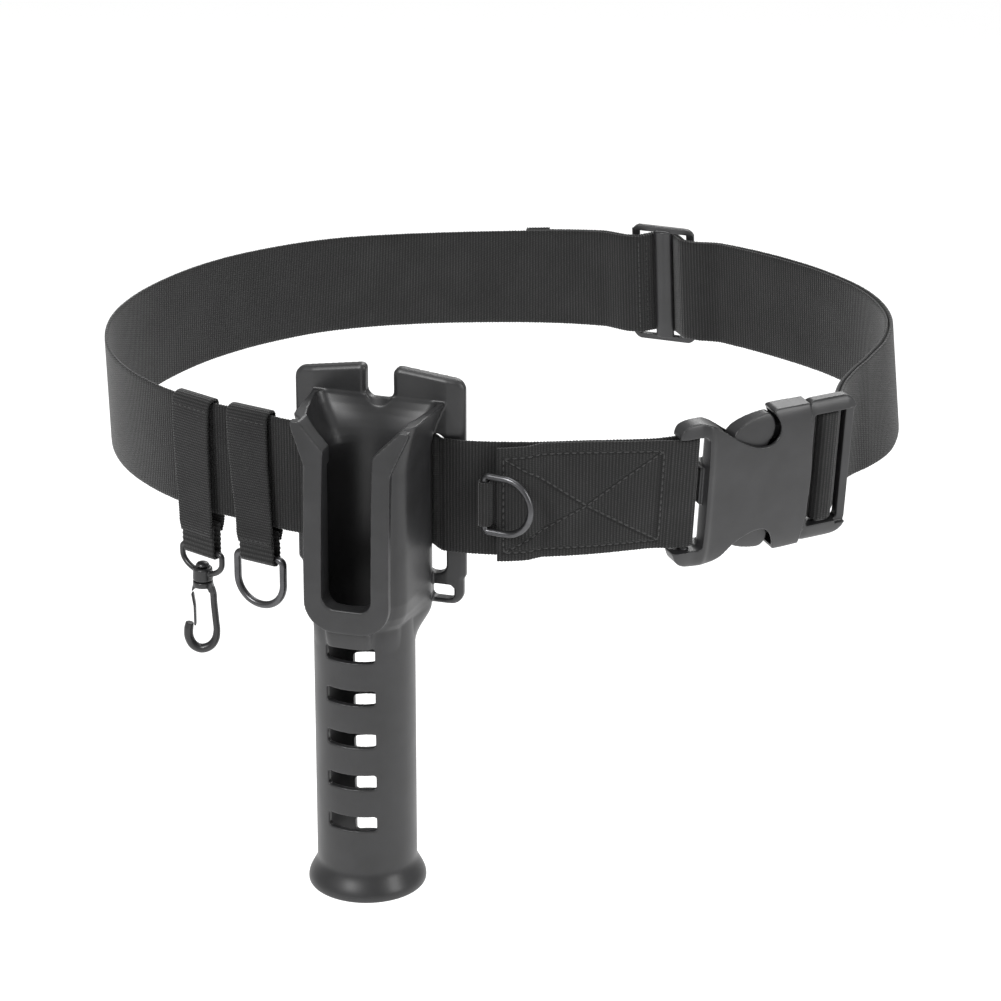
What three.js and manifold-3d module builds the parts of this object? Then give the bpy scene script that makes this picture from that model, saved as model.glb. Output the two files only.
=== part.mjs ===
// A fishing belt: a webbing waist belt with a side-release buckle, a tri-glide adjuster, a moulded
// rod holder threaded on the strap, a D-ring in a sewn tab, and two webbing loops that carry a
// swivel hook and a second D-ring. Millimetres, +Z up. The origin is the middle of the waist
// opening at the belt's mid-height, and the wearer's front faces -Y.
import * as THREE from 'three';
import { mergeVertices } from 'three/addons/utils/BufferGeometryUtils.js';
import Module from 'manifold-3d';

const wasm = await Module();
wasm.setup();

const degrees = THREE.MathUtils.degToRad;
const UP = new THREE.Vector3(0, 0, 1);

// Webbing
const WEB_WIDTH = 50.8;
const WEB_THICK = 1.6;
const LAYER_GAP = 0.5;
const HALF_PAIR = (WEB_THICK + LAYER_GAP) / 2;
const CLEAR = 0.3;

// Rod holder, threaded on the strap at the front left
const HOLDER = { x: -56.7, y: -141.7, z: -1.3, yaw: -17 };
const PLATE = { front: 22.1, back: 27.1, halfWidth: 37.3, lowHalf: 35.6, top: 54.2, bottom: -49.2, corner: 5 };
PLATE.fallLeft = 8.4;
PLATE.fallRight = 5.8;
const STRAP_FRONT = 20.8;
const STRAP_BACK = 28.5;
const SLOT = { inner: 19.1, outer: 29.7, low: -35.6, high: 27.4 };

// Buckle, a rigid chord across the front right. lean is how far its top tips outward, in degrees.
const BUCKLE = { x: 78.5, y: -126, yaw: 27.5, lean: 6 };
const BAR_RADIUS = 2;

// Tri-glide adjuster at the back
const GLIDE = { x: 76.5, y: 126.3, half: 15.2, halfHeight: 31.3, window: 27.8, weave: 3.8 };
GLIDE.centreBar = { half: 4.4, thick: 1.4 };
GLIDE.sideBar = { half: 2, thick: 1.2 };

// Turns a point of the holder's or the buckle's own plan into the belt's plan.
function inPlan(frame, x, y) {
  const turn = degrees(frame.yaw);
  return [frame.x + x * Math.cos(turn) - y * Math.sin(turn), frame.y + x * Math.sin(turn) + y * Math.cos(turn)];
}

// Plan of the inner webbing layer, from the socket's bar round the left, the back and the right
// to the plug. lean is how far the webbing's top edge tips inward, in degrees.
const FRONT_LEFT = [
  { x: 89.0, y: -119.2, lean: 0 },
  { x: 78.0, y: -125.1, lean: 0 },
  { x: 62.0, y: -128.6, lean: 1 },
  { x: 37.0, y: -132.4, lean: 1.5 },
  { x: 12.0, y: -134.7, lean: 1.4 },
];
const BESIDE_HOLDER = [38, 20, -20, -38].map((x) => {
  const [px, py] = inPlan(HOLDER, x, STRAP_FRONT);
  return { x: px, y: py, lean: 0 };
});
const ROUND_WAIST = [
  { x: -103.5, y: -100.5, lean: 0 },
  { x: -125.8, y: -87.0, lean: -0.6 },
  { x: -146.6, y: -67.7, lean: -1.5 },
  { x: -162.6, y: -43.0, lean: -2 },
  { x: -171.4, y: -14.8, lean: -1.8 },
  { x: -171.9, y: 15.6, lean: -0.8 },
  { x: -163.8, y: 44.9, lean: 1 },
  { x: -149.0, y: 71.2, lean: 3.5 },
  { x: -129.4, y: 93.9, lean: 6.3 },
  { x: -106.3, y: 111.9, lean: 9 },
  { x: -80.6, y: 124.8, lean: 11.2 },
  { x: -39.9, y: 134.2, lean: 12.8 },
  { x: 0.0, y: 136.9, lean: 12.1 },
  { x: 40.3, y: 135.2, lean: 9.7 },
  { x: 80.8, y: 124.8, lean: 6.8 },
  { x: 106.2, y: 110.9, lean: 5.3 },
  { x: 129.4, y: 93.0, lean: 4.4 },
  { x: 150.5, y: 71.4, lean: 4.1 },
  { x: 166.3, y: 45.6, lean: 4.3 },
  { x: 173.0, y: 15.6, lean: 4.9 },
  { x: 168.6, y: -14.6, lean: 5.2 },
  { x: 158.8, y: -35.6, lean: 4.6 },
  { x: 150.8, y: -48.0, lean: 3.6 },
  { x: 144.6, y: -61.0, lean: 2 },
  { x: 141.2, y: -75.0, lean: 0.6 },
  { x: 139.9, y: -86.0, lean: 0 },
];
const WAIST = [...FRONT_LEFT, ...BESIDE_HOLDER, ...ROUND_WAIST];
const waistCurve = new THREE.CatmullRomCurve3(WAIST.map((r) => new THREE.Vector3(r.x, r.y, r.lean)), false, 'centripetal');
waistCurve.arcLengthDivisions = 1200;
const WAIST_LENGTH = waistCurve.getLength();
const WAIST_SAMPLES = Array.from({ length: 1201 }, (_, i) => waistCurve.getPointAt(i / 1200));

// Arc length along the waist line nearest to a plan point.
function along(x, y) {
  let best = 0;
  WAIST_SAMPLES.forEach((p, i) => {
    const better = Math.hypot(p.x - x, p.y - y) < Math.hypot(WAIST_SAMPLES[best].x - x, WAIST_SAMPLES[best].y - y);
    if (better) best = i;
  });
  return (best / 1200) * WAIST_LENGTH;
}

// Position, outward normal and lean of the waist line at an arc length.
function waistAt(s) {
  const u = THREE.MathUtils.clamp(s / WAIST_LENGTH, 0, 1);
  const p = waistCurve.getPointAt(u);
  const t = waistCurve.getTangentAt(u).setZ(0).normalize();
  return { at: new THREE.Vector3(p.x, p.y, 0), out: new THREE.Vector3(-t.y, t.x, 0), lean: degrees(p.z) };
}

const S_HOLDER = along(...inPlan(HOLDER, 0, STRAP_FRONT));
const S_GLIDE = along(GLIDE.x, GLIDE.y);
const S_SOCKET = along(BUCKLE.x, BUCKLE.y);
const S_HOOK_LOOP = along(-129.0, -84.3);
const S_RING_LOOP = along(-105.5, -99.2);
const S_FOLD_END = along(-1.5, -134);
const S_HEM = along(12.5, 136);

const ease = (from, to, v) => THREE.MathUtils.smoothstep(v, from, to);

// How far the pair of layers steps outward: behind the rod holder, and over the tri-glide's bars.
function detour(s) {
  const h = Math.abs(s - S_HOLDER);
  const g = Math.abs(s - S_GLIDE);
  const holder = -(STRAP_BACK - STRAP_FRONT) * (1 - ease(SLOT.inner, SLOT.outer + 0.6, h));
  const glide = GLIDE.weave * (1 - 2 * ease(2.5, 13, g)) * (1 - ease(16, 30, g));
  return holder + glide;
}

function pairAt(s) {
  const w = waistAt(s);
  return w.at.clone().addScaledVector(w.out, HALF_PAIR + detour(s));
}

// A layer's plan point: side -1 is the inner layer and +1 the outer one, lift is extra outward.
function layerAt(s, side, lift = 0) {
  const t = pairAt(s + 0.3).sub(pairAt(s - 0.3)).normalize();
  return pairAt(s).add(new THREE.Vector3(-t.y, t.x, 0).multiplyScalar(side * HALF_PAIR + lift));
}

function lane(from, to, side, lift = () => 0) {
  const steps = Math.ceil(Math.abs(to - from));
  return Array.from({ length: steps + 1 }, (_, i) => {
    const s = from + ((to - from) * i) / steps;
    return layerAt(s, side, lift(s));
  });
}

// Points of an arc in plan, from angle a to angle b in degrees.
function arc(x, y, r, a, b, steps) {
  return Array.from({ length: steps + 1 }, (_, i) => {
    const t = degrees(a + ((b - a) * i) / steps);
    return [x + r * Math.cos(t), y + r * Math.sin(t)];
  });
}

// Keeps only the points that a path needs: one after each 10 degrees of turn or 11 mm of run.
function thin(points, turnLimit = 10, runLimit = 11) {
  const kept = [points[0]];
  let run = 0;
  let turn = 0;
  for (let i = 1; i < points.length - 1; i += 1) {
    const a = points[i].clone().sub(points[i - 1]);
    const b = points[i + 1].clone().sub(points[i]);
    run += a.length();
    turn += THREE.MathUtils.radToDeg(a.angleTo(b));
    if (run > runLimit || turn > turnLimit) {
      kept.push(points[i]);
      run = 0;
      turn = 0;
    }
  }
  kept.push(points.at(-1));
  return kept;
}

// Closed mesh from rings of points: each ring is a closed polygon, and the ends are capped.
function loft(rings, closed = false) {
  const n = rings[0].length;
  const vertices = rings.flat().flatMap((p) => [p.x, p.y, p.z]);
  const faces = [];
  const last = closed ? rings.length : rings.length - 1;
  for (let i = 0; i < last; i += 1) {
    const a = i * n;
    const b = ((i + 1) % rings.length) * n;
    for (let j = 0; j < n; j += 1) {
      const k = (j + 1) % n;
      faces.push(a + j, a + k, b + k, a + j, b + k, b + j);
    }
  }
  if (!closed) {
    const end = (rings.length - 1) * n;
    const flat = flatRing(rings[0]);
    THREE.ShapeUtils.triangulateShape(flat, []).forEach(([a, b, c]) => faces.push(a, c, b));
    const flatEnd = flatRing(rings.at(-1));
    THREE.ShapeUtils.triangulateShape(flatEnd, []).forEach(([a, b, c]) => faces.push(end + a, end + b, end + c));
  }
  const geometry = new THREE.BufferGeometry();
  geometry.setAttribute('position', new THREE.Float32BufferAttribute(vertices, 3));
  geometry.setIndex(faces);
  return geometry;
}

// A ring's points in two dimensions of its own plane, wound anticlockwise.
function flatRing(ring) {
  const normal = new THREE.Vector3();
  ring.forEach((p, i) => normal.add(p.clone().cross(ring[(i + 1) % ring.length])));
  normal.normalize();
  const u = ring[1].clone().sub(ring[0]).normalize();
  const v = normal.clone().cross(u);
  return ring.map((p) => new THREE.Vector2(p.dot(u), p.dot(v)));
}

function solid(geometry) {
  const bare = geometry.clone();
  bare.deleteAttribute('normal');
  bare.deleteAttribute('uv');
  const merged = mergeVertices(bare, 1e-4);
  const mesh = new wasm.Mesh({
    numProp: 3,
    vertProperties: new Float32Array(merged.attributes.position.array),
    triVerts: new Uint32Array(merged.index.array),
  });
  return new wasm.Manifold(mesh);
}

function geometryOf(body) {
  const mesh = body.getMesh();
  const geometry = new THREE.BufferGeometry();
  geometry.setAttribute('position', new THREE.BufferAttribute(new Float32Array(mesh.vertProperties), 3));
  geometry.setIndex(new THREE.BufferAttribute(new Uint32Array(mesh.triVerts), 1));
  geometry.computeVertexNormals();
  return geometry;
}

const join = (...parts) => parts.reduce((a, b) => a.add(b));
const cut = (body, ...tools) => tools.reduce((a, b) => a.subtract(b), body);

// A webbing strip of the given width along points with their across direction.
function ribbon(stations, thick) {
  const rings = stations.map(({ at, across, width }, i) => {
    const before = stations[Math.max(i - 1, 0)].at;
    const after = stations[Math.min(i + 1, stations.length - 1)].at;
    const way = after.clone().sub(before).normalize();
    const out = across.clone().cross(way).normalize().multiplyScalar(thick / 2);
    const half = across.clone().multiplyScalar(width / 2);
    return [[1, 1], [-1, 1], [-1, -1], [1, -1]].map(([a, b]) => (
      at.clone().addScaledVector(out, a).addScaledVector(half, b)));
  });
  return solid(loft(rings));
}

// A shape drawn in x and z, with material from y0 to y1.
function prismXZ(shape, y0, y1, curveSegments = 6) {
  const geometry = new THREE.ExtrudeGeometry(shape, { depth: y1 - y0, bevelEnabled: false, curveSegments });
  geometry.rotateX(Math.PI / 2);
  geometry.translate(0, y1, 0);
  return solid(geometry);
}

// A shape drawn in x and y, with material from z0 to z1.
function prismXY(shape, z0, z1, curveSegments = 6) {
  const geometry = new THREE.ExtrudeGeometry(shape, { depth: z1 - z0, bevelEnabled: false, curveSegments });
  geometry.translate(0, 0, z0);
  return solid(geometry);
}

// A shape drawn in y and z, with material from x0 to x1.
function prismYZ(shape, x0, x1, curveSegments = 6) {
  const geometry = new THREE.ExtrudeGeometry(shape, { depth: x1 - x0, bevelEnabled: false, curveSegments });
  geometry.rotateX(Math.PI / 2);
  geometry.rotateZ(Math.PI / 2);
  geometry.translate(x0, 0, 0);
  return solid(geometry);
}

function roundedRect(x0, x1, y0, y1, r) {
  const s = new THREE.Shape();
  s.moveTo(x0 + r, y0);
  s.lineTo(x1 - r, y0);
  s.absarc(x1 - r, y0 + r, r, -Math.PI / 2, 0, false);
  s.lineTo(x1, y1 - r);
  s.absarc(x1 - r, y1 - r, r, 0, Math.PI / 2, false);
  s.lineTo(x0 + r, y1);
  s.absarc(x0 + r, y1 - r, r, Math.PI / 2, Math.PI, false);
  s.lineTo(x0, y0 + r);
  s.absarc(x0 + r, y0 + r, r, Math.PI, Math.PI * 1.5, false);
  return s;
}

function ellipse(x, y, rx, ry) {
  const s = new THREE.Shape();
  s.absellipse(x, y, rx, ry, 0, Math.PI * 2, false, 0);
  return s;
}

const polygon = (points) => new THREE.Shape(points.map(([x, y]) => new THREE.Vector2(x, y)));

function box(x0, x1, y0, y1, z0, z1) {
  const geometry = new THREE.BoxGeometry(x1 - x0, y1 - y0, z1 - z0);
  geometry.translate((x0 + x1) / 2, (y0 + y1) / 2, (z0 + z1) / 2);
  return solid(geometry);
}

// A wire of round section along a flat closed path in the x-z plane.
function wireLoop(points, radius, sides) {
  const n = points.length;
  const rings = points.map(([x, z], i) => {
    const [ax, az] = points[(i + n - 1) % n];
    const [bx, bz] = points[(i + 1) % n];
    const way = new THREE.Vector3(bx - ax, 0, bz - az).normalize();
    const side = new THREE.Vector3(0, 1, 0).cross(way);
    return Array.from({ length: sides }, (_, j) => {
      const t = ((j + 0.5) / sides) * Math.PI * 2;
      return new THREE.Vector3(x, 0, z).addScaledVector(side, radius * Math.cos(t))
        .add(new THREE.Vector3(0, radius * Math.sin(t), 0));
    });
  });
  return solid(loft(rings, true));
}

// Outline of a D: a straight bar on top from (-half, 0) to (half, 0) and a bow that hangs down.
function ringD(half, drop, corner, shoulder) {
  const top = [[half - corner, 0], [-half + corner, 0]];
  const left = arc(-half + corner, -corner, corner, 90, 180, 4).slice(1);
  const bow = Array.from({ length: 13 }, (_, i) => {
    const t = degrees(180 + (180 * i) / 12);
    return [half * Math.cos(t), -shoulder + (drop - shoulder) * Math.sin(t)];
  });
  const right = arc(half - corner, -corner, corner, 0, 90, 4).slice(0, -1);
  return [...top, ...left, ...bow, ...right];
}

const webbing = new THREE.MeshStandardMaterial({ color: 0x1e1e20, roughness: 0.9, metalness: 0 });
const plastic = new THREE.MeshStandardMaterial({ color: 0x2b2b2d, roughness: 0.5, metalness: 0 });
const metal = new THREE.MeshStandardMaterial({ color: 0x303033, roughness: 0.35, metalness: 0.8 });

const belt = new THREE.Group();

function addTo(group, name, body, material) {
  const mesh = new THREE.Mesh(geometryOf(body), material);
  mesh.name = name;
  group.add(mesh);
  return mesh;
}

function groupAt(x, y, z, yaw) {
  const group = new THREE.Group();
  group.position.set(x, y, z);
  group.rotation.z = degrees(yaw);
  belt.add(group);
  return group;
}

// The webbing strip's plan, from the sewn end in front to the hem at the back.
const TAB_RISE = 2.6;
const TAB_LAP = 11;
const BAR_WRAP = BAR_RADIUS + CLEAR + WEB_THICK / 2;
const S_BAR_FLAT = S_SOCKET + 1.2;
// Toward the socket's bar the two layers part, to pass on either side of it.
const parting = (s) => (BAR_WRAP - HALF_PAIR) * (1 - ease(S_BAR_FLAT, S_BAR_FLAT + 16, s));
const tabRise = (s) => TAB_RISE * ease(S_FOLD_END - TAB_LAP - 8, S_FOLD_END - TAB_LAP, s);
const foldLift = (s) => parting(s) + tabRise(s);

// The buckle's own plan starts at that bar: x runs along its chord and -y faces outward.
const barOuter = layerAt(S_BAR_FLAT, 1, foldLift(S_BAR_FLAT));
const barInner = layerAt(S_BAR_FLAT, -1, -parting(S_BAR_FLAT));
const socketBar = barOuter.clone().add(barInner).multiplyScalar(0.5);
const CHORD = { x: socketBar.x, y: socketBar.y, yaw: BUCKLE.yaw };

const MIDDLE_BAR = { x0: 64.6, x1: 67.4 };
// The strap round the plug's middle bar, in the buckle's own plan, with -y facing outward.
const PLUG_WEAVE = [
  [70.35, 3.55],
  [68.9, 3.15],
  ...arc(MIDDLE_BAR.x0, 0, BAR_WRAP, 90, 270, 10),
  ...arc(MIDDLE_BAR.x1, 0, BAR_WRAP, 270, 330, 5),
  [71.3, 0.8],
];

function plugPath() {
  const start = layerAt(WAIST_LENGTH - 2, -1);
  const finish = layerAt(WAIST_LENGTH - 2, 1);
  const knots = PLUG_WEAVE.map(([x, y]) => new THREE.Vector3(...inPlan(CHORD, x, y), 0));
  const curve = new THREE.CatmullRomCurve3([start, ...knots, finish], false, 'centripetal');
  return curve.getSpacedPoints(90);
}

function socketPath() {
  const half = barOuter.clone().sub(socketBar);
  const forward = new THREE.Vector3(-half.y, half.x, 0);
  return Array.from({ length: 19 }, (_, i) => {
    const t = (Math.PI * (i + 1)) / 20;
    return socketBar.clone().addScaledVector(half, Math.cos(t)).addScaledVector(forward, Math.sin(t));
  });
}

const HEM_LENGTH = 11;
function hemPath() {
  const lift = 2 * HALF_PAIR;
  const outer = layerAt(S_HEM, 1, 0);
  const far = layerAt(S_HEM, 1, lift);
  const middle = outer.clone().add(far).multiplyScalar(0.5);
  const half = far.clone().sub(middle);
  const way = new THREE.Vector3(half.y, -half.x, 0).negate();
  const turn = Array.from({ length: 9 }, (_, i) => {
    const t = (Math.PI * (i + 1)) / 10;
    return middle.clone().addScaledVector(half, -Math.cos(t)).addScaledVector(way, -Math.sin(t));
  });
  return [...turn, ...lane(S_HEM, S_HEM + HEM_LENGTH, 1, () => lift)];
}

// The webbing's upward direction: the waist line's lean, and the bars' own lean beside the buckle.
const outward = new THREE.Vector3(Math.sin(degrees(BUCKLE.yaw)), -Math.cos(degrees(BUCKLE.yaw)), 0);
const BAR_AXIS = UP.clone().multiplyScalar(Math.cos(degrees(BUCKLE.lean))).addScaledVector(outward, Math.sin(degrees(BUCKLE.lean)));
const BUCKLE_LENGTH = 78;
function strapAcross(at) {
  const w = waistAt(along(at.x, at.y));
  const own = UP.clone().multiplyScalar(Math.cos(w.lean)).addScaledVector(w.out, -Math.sin(w.lean));
  const fromBar = at.clone().sub(socketBar);
  const side = fromBar.dot(outward);
  const x = fromBar.addScaledVector(outward, -side).length() * Math.sign(fromBar.x);
  const beside = 1 - ease(8, 52, Math.max(-x, x - BUCKLE_LENGTH));
  const near = beside * (1 - ease(40, 90, Math.abs(side)));
  return own.lerp(BAR_AXIS, near).normalize();
}

function webbingStations() {
  const plan = [
    ...lane(S_FOLD_END, S_BAR_FLAT, 1, foldLift),
    ...socketPath(),
    ...lane(S_BAR_FLAT, WAIST_LENGTH - 4, -1, (s) => -parting(s)),
    ...plugPath(),
    ...lane(WAIST_LENGTH - 4, S_HEM, 1),
    ...hemPath(),
  ];
  return thin(plan).map((at) => ({ at, across: strapAcross(at), width: WEB_WIDTH }));
}

addTo(belt, 'belt_webbing', ribbon(webbingStations(), WEB_THICK), webbing);

// Rod holder. Its own x runs along the plate and y from the cup's mouth back to the plate.
const TUBE = { outer: 21.2, inner: 18.5, foot: -171.1, rim: 25.1, flare: 11.5 };
const CUP = { halfFront: 18.3, front: -25.6, halfBack: 24.2, side: 17, halfRoot: 21 };
const CUP_TURN = [-62, -60, -57, -53, -50, -47];
// How far the lower corners of the cup's front are drawn in, by height
const CUP_CORNER = [{ z: -47, drawn: 7 }, { z: -44.5, drawn: 4 }, { z: -41, drawn: 1.5 }, { z: -35, drawn: 0 }];
const MOUTH = { low: 34, high: 43, front: -20, half: 26.5, root: 27 };
const VENT = { half: 10.5, high: 6.5, top: -54.6, pitch: 19.4, count: 5 };

// The cup's plan outline, as points round it from the middle of the front.
function cupOutline(halfFront, front, halfSide, side, halfRoot, root) {
  const rightHalf = [
    [0, front], [halfFront * 0.5, front], [halfFront - 2.5, front], [halfFront - 0.7, front + 0.7],
    [halfFront, front + 2.5],
    [halfFront + (halfSide - halfFront) * 0.3, front + (side - front) * 0.3],
    [halfFront + (halfSide - halfFront) * 0.7, front + (side - front) * 0.7],
    [halfSide, side], [(halfSide + halfRoot) / 2, (side + root) / 2], [halfRoot, root], [halfRoot * 0.5, root],
  ];
  const leftHalf = rightHalf.slice(1).reverse().map(([x, y]) => [-x, y]);
  return [...rightHalf, [0, root], ...leftHalf];
}

function ringBetween(outline, radius, share, z) {
  return outline.map(([x, y]) => {
    const r = Math.hypot(x, y);
    const scale = share + ((1 - share) * radius) / r;
    return new THREE.Vector3(x * scale, y * scale, z);
  });
}

function cupSolid() {
  const root = PLATE.front + 1;
  const drawnIn = (inset) => cupOutline(CUP.halfFront - inset, CUP.front, CUP.halfBack, CUP.side, CUP.halfRoot, root);
  const plain = drawnIn(0);
  const wide = cupOutline(MOUTH.half - 3, MOUTH.front, MOUTH.half + 1, CUP.side, MOUTH.root, root);
  const low = drawnIn(CUP_CORNER[0].drawn);
  const blend = CUP_TURN.slice(0, -1).map((z, i) => ringBetween(low, TUBE.outer, ease(0, CUP_TURN.length - 1, i), z));
  const level = (outline, z) => outline.map(([x, y]) => new THREE.Vector3(x, y, z));
  const corner = CUP_CORNER.map(({ z, drawn }) => level(drawnIn(drawn), z));
  const between = (t) => plain.map(([x, y], i) => [x + (wide[i][0] - x) * t, y + (wide[i][1] - y) * t]);
  const flare = [[0, 0], [0.35, 0.25], [0.7, 0.6], [1, 1]].map(([rise, t]) => (
    level(between(t), MOUTH.low - 8 + (MOUTH.high - MOUTH.low + 8) * rise)));
  return solid(loft([...blend, ...corner, ...flare]));
}

// The hollow above the bore: a funnel that opens to the mouth's rim.
function funnelSolid() {
  const wide = cupOutline(MOUTH.half - 5.5, MOUTH.front - 3, MOUTH.half - 1.5, 12, MOUTH.half - 6, PLATE.front - 0.2);
  const shares = [[22, 0], [27, 0.2], [33, 0.55], [38, 0.85], [40.4, 1], [46, 1.06]];
  return solid(loft(shares.map(([z, share]) => ringBetween(wide, TUBE.inner, share, z))));
}

function frontGate() {
  const half = 10.4;
  const s = new THREE.Shape();
  s.moveTo(-half + 5, -35.5);
  s.lineTo(half - 5, -35.5);
  s.absarc(half - 5, -30.5, 5, -Math.PI / 2, 0, false);
  s.lineTo(half, MOUTH.low);
  s.lineTo(MOUTH.half, 47);
  s.lineTo(-MOUTH.half, 47);
  s.lineTo(-half, MOUTH.low);
  s.lineTo(-half, -30.5);
  s.absarc(-half + 5, -30.5, 5, Math.PI, Math.PI * 1.5, false);
  return prismXZ(s, -40, -6);
}

function tubeSolid() {
  const wall = [
    [TUBE.inner, -40], [TUBE.inner, TUBE.foot + 7], [TUBE.inner + 2, TUBE.foot + 0.4], [TUBE.rim - 1, TUBE.foot],
    [TUBE.rim, TUBE.foot + 1.6], [TUBE.rim - 1, TUBE.foot + 4.2], [TUBE.outer + 1.2, TUBE.foot + 7.8],
    [TUBE.outer, TUBE.foot + TUBE.flare], [TUBE.outer, -40],
  ].map(([x, z]) => new THREE.Vector2(x, z));
  wall.push(wall[0].clone());
  const geometry = new THREE.LatheGeometry(wall, 40);
  geometry.rotateX(Math.PI / 2);
  return solid(geometry);
}

function plateSolid() {
  const { halfWidth: w, lowHalf, top, bottom, corner: r } = PLATE;
  const notch = { half: 6, floor: 39.8, corner: 3.5 };
  const sideOutline = (slope) => {
    const fall = Math.tan(degrees(slope));
    const shoulder = top - (w - notch.half) * fall;
    return [
      [notch.half, top - 1.5], [notch.half + 1.5, top], [w - r, shoulder + r * fall], [w - 1.2, shoulder - 1.2],
      [w, shoulder - r], [w, -35.5], [lowHalf, -37.5], [lowHalf, bottom + r], [lowHalf - 1.5, bottom + 1.5],
      [lowHalf - r, bottom],
    ];
  };
  const s = new THREE.Shape();
  s.moveTo(-notch.half, notch.floor + notch.corner);
  s.absarc(-notch.half + notch.corner, notch.floor + notch.corner, notch.corner, Math.PI, Math.PI * 1.5, false);
  s.absarc(notch.half - notch.corner, notch.floor + notch.corner, notch.corner, -Math.PI / 2, 0, false);
  sideOutline(PLATE.fallRight).forEach(([x, z]) => s.lineTo(x, z));
  sideOutline(PLATE.fallLeft).reverse().forEach(([x, z]) => s.lineTo(-x, z));
  const strapSlot = (side) => prismXZ(side > 0
    ? roundedRect(SLOT.inner, SLOT.outer, SLOT.low, SLOT.high, 2)
    : roundedRect(-SLOT.outer, -SLOT.inner, SLOT.low, SLOT.high, 2), 20, 40);
  const lowSlot = (side) => prismXZ(side > 0
    ? roundedRect(22, 31.9, -46.7, -40.4, 1.5)
    : roundedRect(-31.9, -22, -46.7, -40.4, 1.5), 20, 40);
  const plate = prismXZ(s, PLATE.front, PLATE.back);
  return cut(plate, strapSlot(1), strapSlot(-1), lowSlot(1), lowSlot(-1));
}

function rodHolder() {
  const bore = new THREE.CylinderGeometry(TUBE.inner, TUBE.inner, 70, 40);
  bore.rotateX(Math.PI / 2);
  bore.translate(0, 0, -11);
  const vents = [];
  for (let i = 0; i < VENT.count; i += 1) {
    const high = VENT.top - VENT.pitch * i;
    vents.push(box(-VENT.half, VENT.half, -26, -6, high - VENT.high, high));
    vents.push(box(-VENT.half, VENT.half, 6, 26, high - VENT.pitch - VENT.high, high - VENT.pitch));
  }
  const cup = cut(cupSolid(), funnelSolid(), frontGate());
  const shell = cut(join(cup, tubeSolid()), solid(bore), solid(boreBelow()));
  const plate = plateSolid();
  return cut(join(shell, plate), ...vents);
}

function boreBelow() {
  const geometry = new THREE.CylinderGeometry(TUBE.inner, TUBE.inner, 30, 40);
  geometry.rotateX(Math.PI / 2);
  geometry.translate(0, 0, -55);
  return geometry;
}

const holderGroup = groupAt(HOLDER.x, HOLDER.y, HOLDER.z, HOLDER.yaw);
addTo(holderGroup, 'rod_holder', rodHolder(), plastic);

// Buckle. Its own x runs along the chord from the socket's bar to the plug, -y faces outward.
const SHELL = { x0: 7.5, x1: 54.5, halfHeight: 32, halfThick: 7.2, wall: 1.9 };
const RAIL = 27;
const FINGER = { x0: 18, x1: 41.5, floor: 17.5 };

// Crowned section of the buckle in its own y and z.
function crown(halfThick, halfHeight, power = 3) {
  const points = Array.from({ length: 28 }, (_, i) => {
    const t = (i / 28) * Math.PI * 2;
    const c = Math.cos(t);
    const d = Math.sin(t);
    return [Math.sign(c) * halfThick * Math.abs(c) ** (2 / power), Math.sign(d) * halfHeight * Math.abs(d) ** (2 / power)];
  });
  return polygon(points);
}

function fingerCut(side) {
  const s = new THREE.Shape();
  s.moveTo(FINGER.x0 - 3, side * 34);
  s.lineTo(FINGER.x0 - 1, side * 31);
  s.quadraticCurveTo(FINGER.x0 + 5, side * (FINGER.floor + 2), FINGER.x0 + 14, side * FINGER.floor);
  s.quadraticCurveTo(FINGER.x1 + 1, side * (FINGER.floor + 1), FINGER.x1, side * 27);
  s.lineTo(FINGER.x1 - 2, side * 29.5);
  s.lineTo(FINGER.x1 - 2, side * 34);
  return s;
}

function socketSolid() {
  const outline = new THREE.Shape();
  outline.moveTo(-7, 24);
  outline.quadraticCurveTo(-7.5, 30, 0, 31.5);
  outline.quadraticCurveTo(8, 32, 14, 32);
  outline.lineTo(SHELL.x1 - 1, 32);
  outline.quadraticCurveTo(SHELL.x1 + 1.2, 0, SHELL.x1 - 1, -32);
  outline.lineTo(14, -32);
  outline.quadraticCurveTo(8, -32, 0, -31.5);
  outline.quadraticCurveTo(-7.5, -30, -7, -24);
  outline.lineTo(-7, 24);
  const skin = prismYZ(crown(SHELL.halfThick, SHELL.halfHeight, 3.4), -10, 58);
  const slab = prismXZ(outline, -9, 9).intersect(skin);
  const strapRoom = box(-20, SHELL.x0, -9, 9, -RAIL, RAIL);
  const pocket = prismYZ(crown(SHELL.halfThick - SHELL.wall, SHELL.halfHeight - SHELL.wall - 1, 8), 12, 60);
  const lip = box(-20, SHELL.x0, -12, -3.4, -40, 40);
  const lipBack = box(-20, SHELL.x0, 3.4, 12, -40, 40);
  const fingers = [1, -1].map((side) => prismXZ(fingerCut(side), -9, 9));
  const bar = prismXY(ellipse(0, 0, BAR_RADIUS, BAR_RADIUS), -RAIL - 1, RAIL + 1, 4);
  const frame = cut(slab, strapRoom, pocket, lip, lipBack, ...fingers);
  return join(frame, bar);
}

// One side arm of the plug, in x and z; side is 1 for the upper and -1 for the lower one.
function prong(side) {
  const s = new THREE.Shape();
  s.moveTo(57, side * 27.4);
  s.lineTo(44.5, side * 25.8);
  s.lineTo(42.2, side * 26.2);
  s.lineTo(40.6, side * 27.2);
  s.lineTo(38.6, side * 29.6);
  s.quadraticCurveTo(29, side * 28.4, 19.6, side * 20.5);
  s.lineTo(19.2, side * 17.6);
  s.quadraticCurveTo(30, side * 22.5, 36, side * 20.6);
  s.lineTo(52, side * 20.6);
  s.lineTo(57, side * 18);
  return s;
}

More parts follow.
